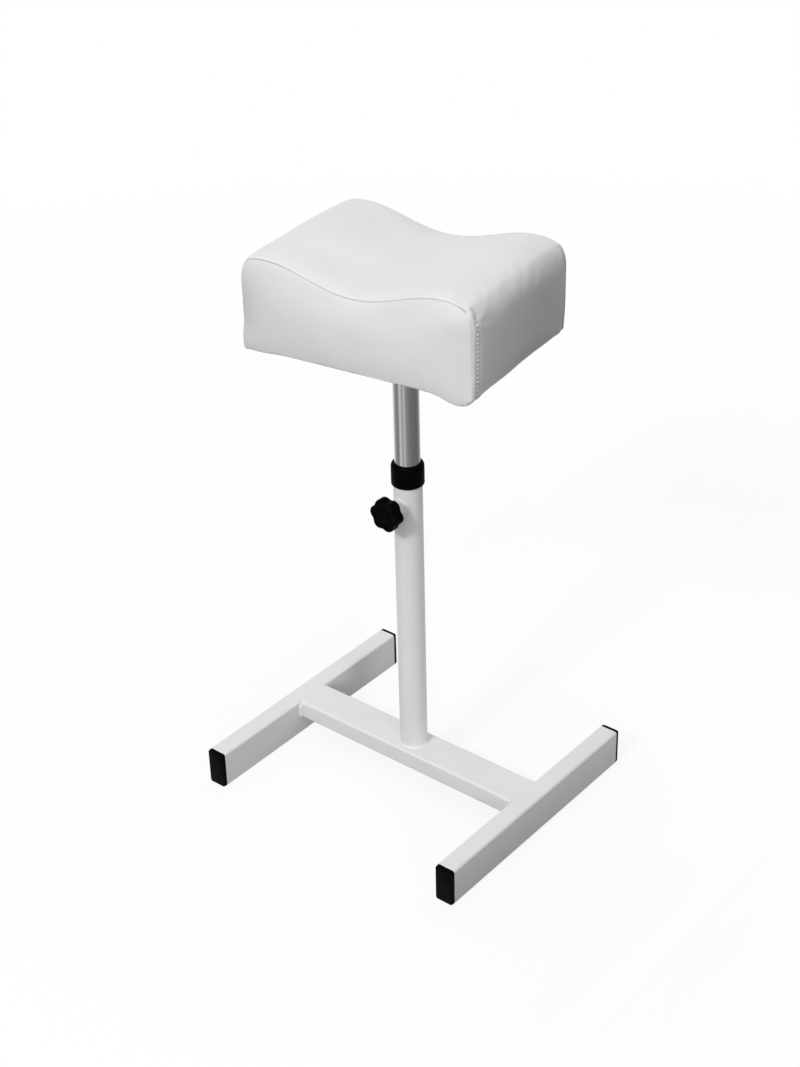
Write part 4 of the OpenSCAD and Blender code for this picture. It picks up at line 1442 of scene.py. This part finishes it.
def gathered(point):
    """How the gathers and the corners move a point."""
    move = Vector((0, 0, 0))
    up = max(0, point.z)
    low = bell(up, GATHER_HIGH)
    move.z -= FRONT_SAG * bell(SEAM_Y + point.y, GATHER_WIDE) * low
    rearward = max(0, point.y / SEAM_Y) ** 2
    move.z -= END_DROP * rearward * bell(max(0, HALF_LEN - point.x), GATHER_LONG) * low
    for side_x, side_y, depth, tuck in GATHERS:
        along, inward = HALF_LEN - side_x * point.x, max(0, SEAM_Y - side_y * point.y)
        move.z -= depth * bell(along - GATHER_IN, GATHER_LONG) * bell(inward, GATHER_WIDE) * low
        move.z += tuck * bell(along, TUCK_SIZE) * bell(inward, TUCK_SIZE) * bell(up, TUCK_SIZE)
    high = held((up - CORNER_FROM) / (CORNER_FULL - CORNER_FROM))
    for side_x, side_y, pull_x, pull_y, wide in CORNERS:
        along, inward = max(0, HALF_LEN - side_x * point.x), max(0, SEAM_Y - side_y * point.y)
        near = bell(along, wide) * bell(inward, wide) * high
        move -= near * Vector((side_x * pull_x, side_y * pull_y, 0))
    return move


front_right = Vector((HALF_LEN - GATHER_IN, -SEAM_Y, 0))
print("the front right corner hangs", round(-gathered(front_right).z / MM, 1), "mm low")

# %% [markdown]
# ## Folds and crinkles
# Leathercloth can't stretch much, so it wrinkles where it bends two ways at
# once. Folds fan out from the upper end of each upright seam, deeper at the
# front, and small crinkles slant along the shoulders. Below its upper
# corners a side panel is fuller. Sculpting could draw each fold, but sines
# and noise give the same kind of surface and can be tuned by their sizes.

# %% Folds and crinkles
LUMP_SIZE, LUMP_DEEP = 42 * MM, 0.75 * MM      # broad, shallow lumps of the foam
LUMP_FADE = 12 * MM       # the lumps fade out towards a seam over this distance
FOLD_COUNT, FOLD_REACH, FOLD_START, FOLD_Z = 9, 34 * MM, 16 * MM, 74 * MM
FOLD_DEEP = {-1: 0.35 * MM, 1: 0.15 * MM}      # at the front and at the rear
CRINKLE_IN, CRINKLE_Z, CRINKLE_BAND = 8 * MM, 80 * MM, 16 * MM
CRINKLE_SIZE, CRINKLE_DEEP = 9 * MM, 0.5 * MM
CRINKLE_SLANT, CRINKLE_STRETCH = 2, 3
FULL_IN, FULL_SIZE, FULL_HIGH = 15 * MM, 12 * MM, 1.4 * MM


def crinkled(point):
    """Height of the crinkles along a shoulder."""
    across = abs(point.x) - point.z
    away = math.hypot(HALF_LEN - CRINKLE_IN - abs(point.x), point.z - CRINKLE_Z)
    slanted = Vector((point.y + across / CRINKLE_SLANT, across / CRINKLE_STRETCH, point.x))
    return CRINKLE_DEEP * noise.noise(slanted / CRINKLE_SIZE) * bell(away, CRINKLE_BAND)


def folded(point, strip):
    """Height of the folds: fans and crinkles on the strip, fuller upper corners on the side panels."""
    high = crinkled(point) if strip else 0
    for side_y in (-1, 1):
        away = Vector((HALF_LEN - point.x, SEAM_Y - side_y * point.y, point.z - FOLD_Z))
        if strip:
            fan = math.sin(FOLD_COUNT * math.atan2(away.z, away.x + away.y))
            start = min(1, away.length / FOLD_START)
            high += FOLD_DEEP[side_y] * fan * bell(away.length, FOLD_REACH) * start
        else:
            middle = away - Vector((FULL_IN, 0, 0))
            high += FULL_HIGH * bell(middle.length, FULL_SIZE)
    return high


def lumpy(point, away, strip):
    """Height of the lumps and folds, away from the nearest seam. The underside is drawn flat."""
    if point.z < FOOT_R / 2:
        return 0
    return LUMP_DEEP * noise.noise(point / LUMP_SIZE) * min(1, away / LUMP_FADE) + folded(point, strip)


print("folds reach", round(FOLD_REACH / MM), "mm from the corners")

# %% [markdown]
# ## Shaping the cover
# Every point is now moved by what the last cells work out. The same pass
# writes how much painted shade the seam groove and the stitch row get there,
# in the mesh itself, which a texture without a UV map couldn't place so exactly.

# %% Shaping the cover
# How dark and how wide the painted shade is along the seam groove and along the stitch row.
SEAM_PAINTED_SHADE, SEAM_PAINTED_SHADE_WIDE = 0.85, 1.0 * MM
STITCH_PAINTED_SHADE, STITCH_PAINTED_SHADE_WIDE = 0.5, 1.8 * MM

cover.data.update()
crease = cover.data.attributes.new("crease", "FLOAT", "POINT")
shaped = []
for v, place in zip(cover.data.vertices, box_places):
    away, strip = from_seam(place)
    high = lumpy(v.co, away, strip) - sunk(place)
    shaped.append(v.co + v.normal * high + gathered(v.co))
    # Painted shade, strongest in the seam groove and along the stitch rows of the ends.
    painted_shade = SEAM_PAINTED_SHADE * seam_shows(place) * bell(away, SEAM_PAINTED_SHADE_WIDE)
    if strip and is_near(abs(place.x), 1):
        painted_shade = max(painted_shade, STITCH_PAINTED_SHADE * bell(away - SEAM_STEPS[STITCH_ROW], STITCH_PAINTED_SHADE_WIDE))
    crease.data[v.index].value = painted_shade
for v, moved in zip(cover.data.vertices, shaped):
    v.co = moved
cover.data.update()
print("shaped", len(shaped), "points")

# %% [markdown]
# ## Top stitching
# One row of stitches runs along each seam, on the strip's side of it. Each
# stitch is a short bit of thread pulled into the leathercloth, every four
# millimetres. One stitch is modelled and copied along the row, because a
# curve with a bevel would show a line and not stitches.

# %% Top stitching
STITCH_PITCH = 4 * MM
STITCH_LEN, STITCH_THICK = 3.5 * MM, 1.55 * MM     # heavy upholstery thread
STITCH_BOW = 0.35 * MM    # how far the ends of a stitch are pulled down
STITCH_SLANT = math.radians(34)
STITCH_SUNK, STITCH_SUNK_TOP = 0.05 * MM, 0.6 * MM
FACES_UP = 0.25           # the stitches sink fully where the strip faces up at least this much


def way_round(place):
    """Order of a point along the strip, from the left foot over the top to the right foot."""
    if is_near(abs(place.x), 1) and place.z < 1:
        return math.copysign(2 - place.z, place.x)
    return place.x


def stitched_row(side):
    """Points and normals of the row that the stitches follow."""
    row = side * (1 - 2 * STITCH_ROW / ROWS_WIDE)
    found = []
    for v, place in zip(cover.data.vertices, box_places):
        if is_near(place.y, row) and (is_near(place.z, 1) or is_near(abs(place.x), 1)) and v.co.z > FOOT_R:
            found.append((way_round(place), v.co.copy(), v.normal.copy()))
    found.sort(key=lambda item: item[0])
    return [item[1:] for item in found]


def one_stitch():
    """One stitch along X, pulled down at both ends."""
    bpy.ops.mesh.primitive_uv_sphere_add(segments=10, ring_count=8, radius=1, location=(0, 0, 0))
    stitch = bpy.context.object
    for v in stitch.data.vertices:
        along = v.co.z
        v.co = (along * STITCH_LEN / 2, v.co.x * STITCH_THICK / 2,
                v.co.y * STITCH_THICK / 2 - STITCH_BOW * along ** 2)
    return stitch


def stitching(side, name):
    template = one_stitch()
    row = stitched_row(side)
    slant = Matrix.Rotation(side * STITCH_SLANT, 4, "Z")
    copies = []
    walked, wanted = 0, STITCH_PITCH / 2
    for (here, up), (there, _) in zip(row, row[1:]):
        step = (there - here).length
        while walked + step > wanted:
            along = (there - here).normalized()
            across = up.cross(along).normalized()
            top = along.cross(across)
            sunk_by = STITCH_SUNK + (STITCH_SUNK_TOP - STITCH_SUNK) * held(top.z / FACES_UP)
            place = here.lerp(there, (wanted - walked) / step) - top * sunk_by
            turn = Matrix((along, across, top)).transposed().to_4x4()
            copy = copy_piece(template, "stitch")
            copy.data.transform(Matrix.Translation(place) @ turn @ slant)
            copies.append(copy)
            wanted += STITCH_PITCH
        walked += step
    bpy.data.objects.remove(template)
    made = join_pieces(copies, name)
    place_mesh(made, from_pad)
    finish_piece(made, "pad_head", polyester_thread, smooth_degrees=80)
    print(name, len(copies), "stitches")


stitching(-1, "front_seam_stitching")
stitching(1, "rear_seam_stitching")

# %% [markdown]
# ## Foam core
# The moulded foam fills the cover. It is the cover's own form, set in by the
# thickness of the leathercloth, cut flat where it is glued to the board, and
# remeshed evenly, because moulded foam has no seams.

# %% Foam core
SKIN_T = 1.2 * MM
FOAM_VOXEL = 4 * MM
FOAM_SLACK = 0.6 * MM
BOARD_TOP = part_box("pad_board")[1].z - strip_low.z

foam = copy_piece(cover, "foam_core")
add_modifier(foam, "DISPLACE", strength=-(SKIN_T + FOAM_SLACK), mid_level=0)
apply_modifiers(foam)
edit_selected(foam, "FACE", lambda f: True)
bpy.ops.mesh.bisect(plane_co=(0, 0, BOARD_TOP), plane_no=(0, 0, 1), use_fill=True, clear_inner=True)
close_edit()
add_modifier(foam, "REMESH", mode="VOXEL", voxel_size=FOAM_VOXEL)
add_modifier(foam, "SMOOTH", factor=0.5, iterations=2)
apply_modifiers(foam)
place_mesh(foam, from_pad)
finish_piece(foam, "pad_head", foam_yellow, smooth_degrees=60)
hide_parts("pad_foam")
print("foam", len(foam.data.polygons), "faces")

# %% [markdown]
# ## Cutting the cover into its panels
# The form becomes the three sewn panels. Under the board each panel ends in
# a hem, mitred at the corners, and the middle is left open for the felt.
# Solidify then gives the leathercloth its real thickness.

# %% Cutting the cover into its panels
HEM = 22 * MM
FACES_DOWN = -0.7         # a face of the underside has a normal lower than this


def mitre_corners(piece):
    """Cuts the underside along the four mitres."""
    for side_x in (-1, 1):
        for side_y in (-1, 1):
            edit_selected(piece, "FACE", lambda f: f.normal.z < FACES_DOWN
                          and f.center.x * side_x > 0 and f.center.y * side_y > 0)
            bpy.ops.mesh.bisect(plane_co=(side_x * HALF_LEN, side_y * SEAM_Y, 0),
                                plane_no=(side_y, -side_x, 0))
            close_edit()


def panel_of(face, places):
    """Which panel a face belongs to: strip, front, rear or none."""
    middle = face.center
    corners = [places[i] for i in face.vertices]
    if all(is_side_panel(p) for p in corners):
        return "front" if middle.y < 0 else "rear"
    if face.normal.z > FACES_DOWN or not all(is_near(p.z, -1) for p in corners):
        return "strip"
    to_end, to_side = HALF_LEN - abs(middle.x), SEAM_Y - abs(middle.y)
    if min(to_end, to_side) > HEM:
        return "none"
    if to_end < to_side:
        return "strip"
    return "front" if middle.y < 0 else "rear"


def cut_panel(panel, name, node):
    piece = copy_piece(cover, name)
    places = places_on_box(piece)
    edit_selected(piece, "FACE", lambda f: panel_of(f, places) != panel)
    bpy.ops.mesh.delete(type="FACE")
    close_edit()
    add_modifier(piece, "SOLIDIFY", thickness=SKIN_T, offset=-1)
    apply_modifiers(piece)
    place_mesh(piece, from_pad)
    finish_piece(piece, "pad_head", white_leathercloth, smooth_degrees=75)
    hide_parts(node)
    print(name, len(piece.data.polygons), "faces")


mitre_corners(cover)
cut_panel("strip", "leathercloth_strip", "cover_strip")
cut_panel("front", "leathercloth_front_panel", "cover_front_panel")
cut_panel("rear", "leathercloth_rear_panel", "cover_rear_panel")
bpy.data.objects.remove(cover)
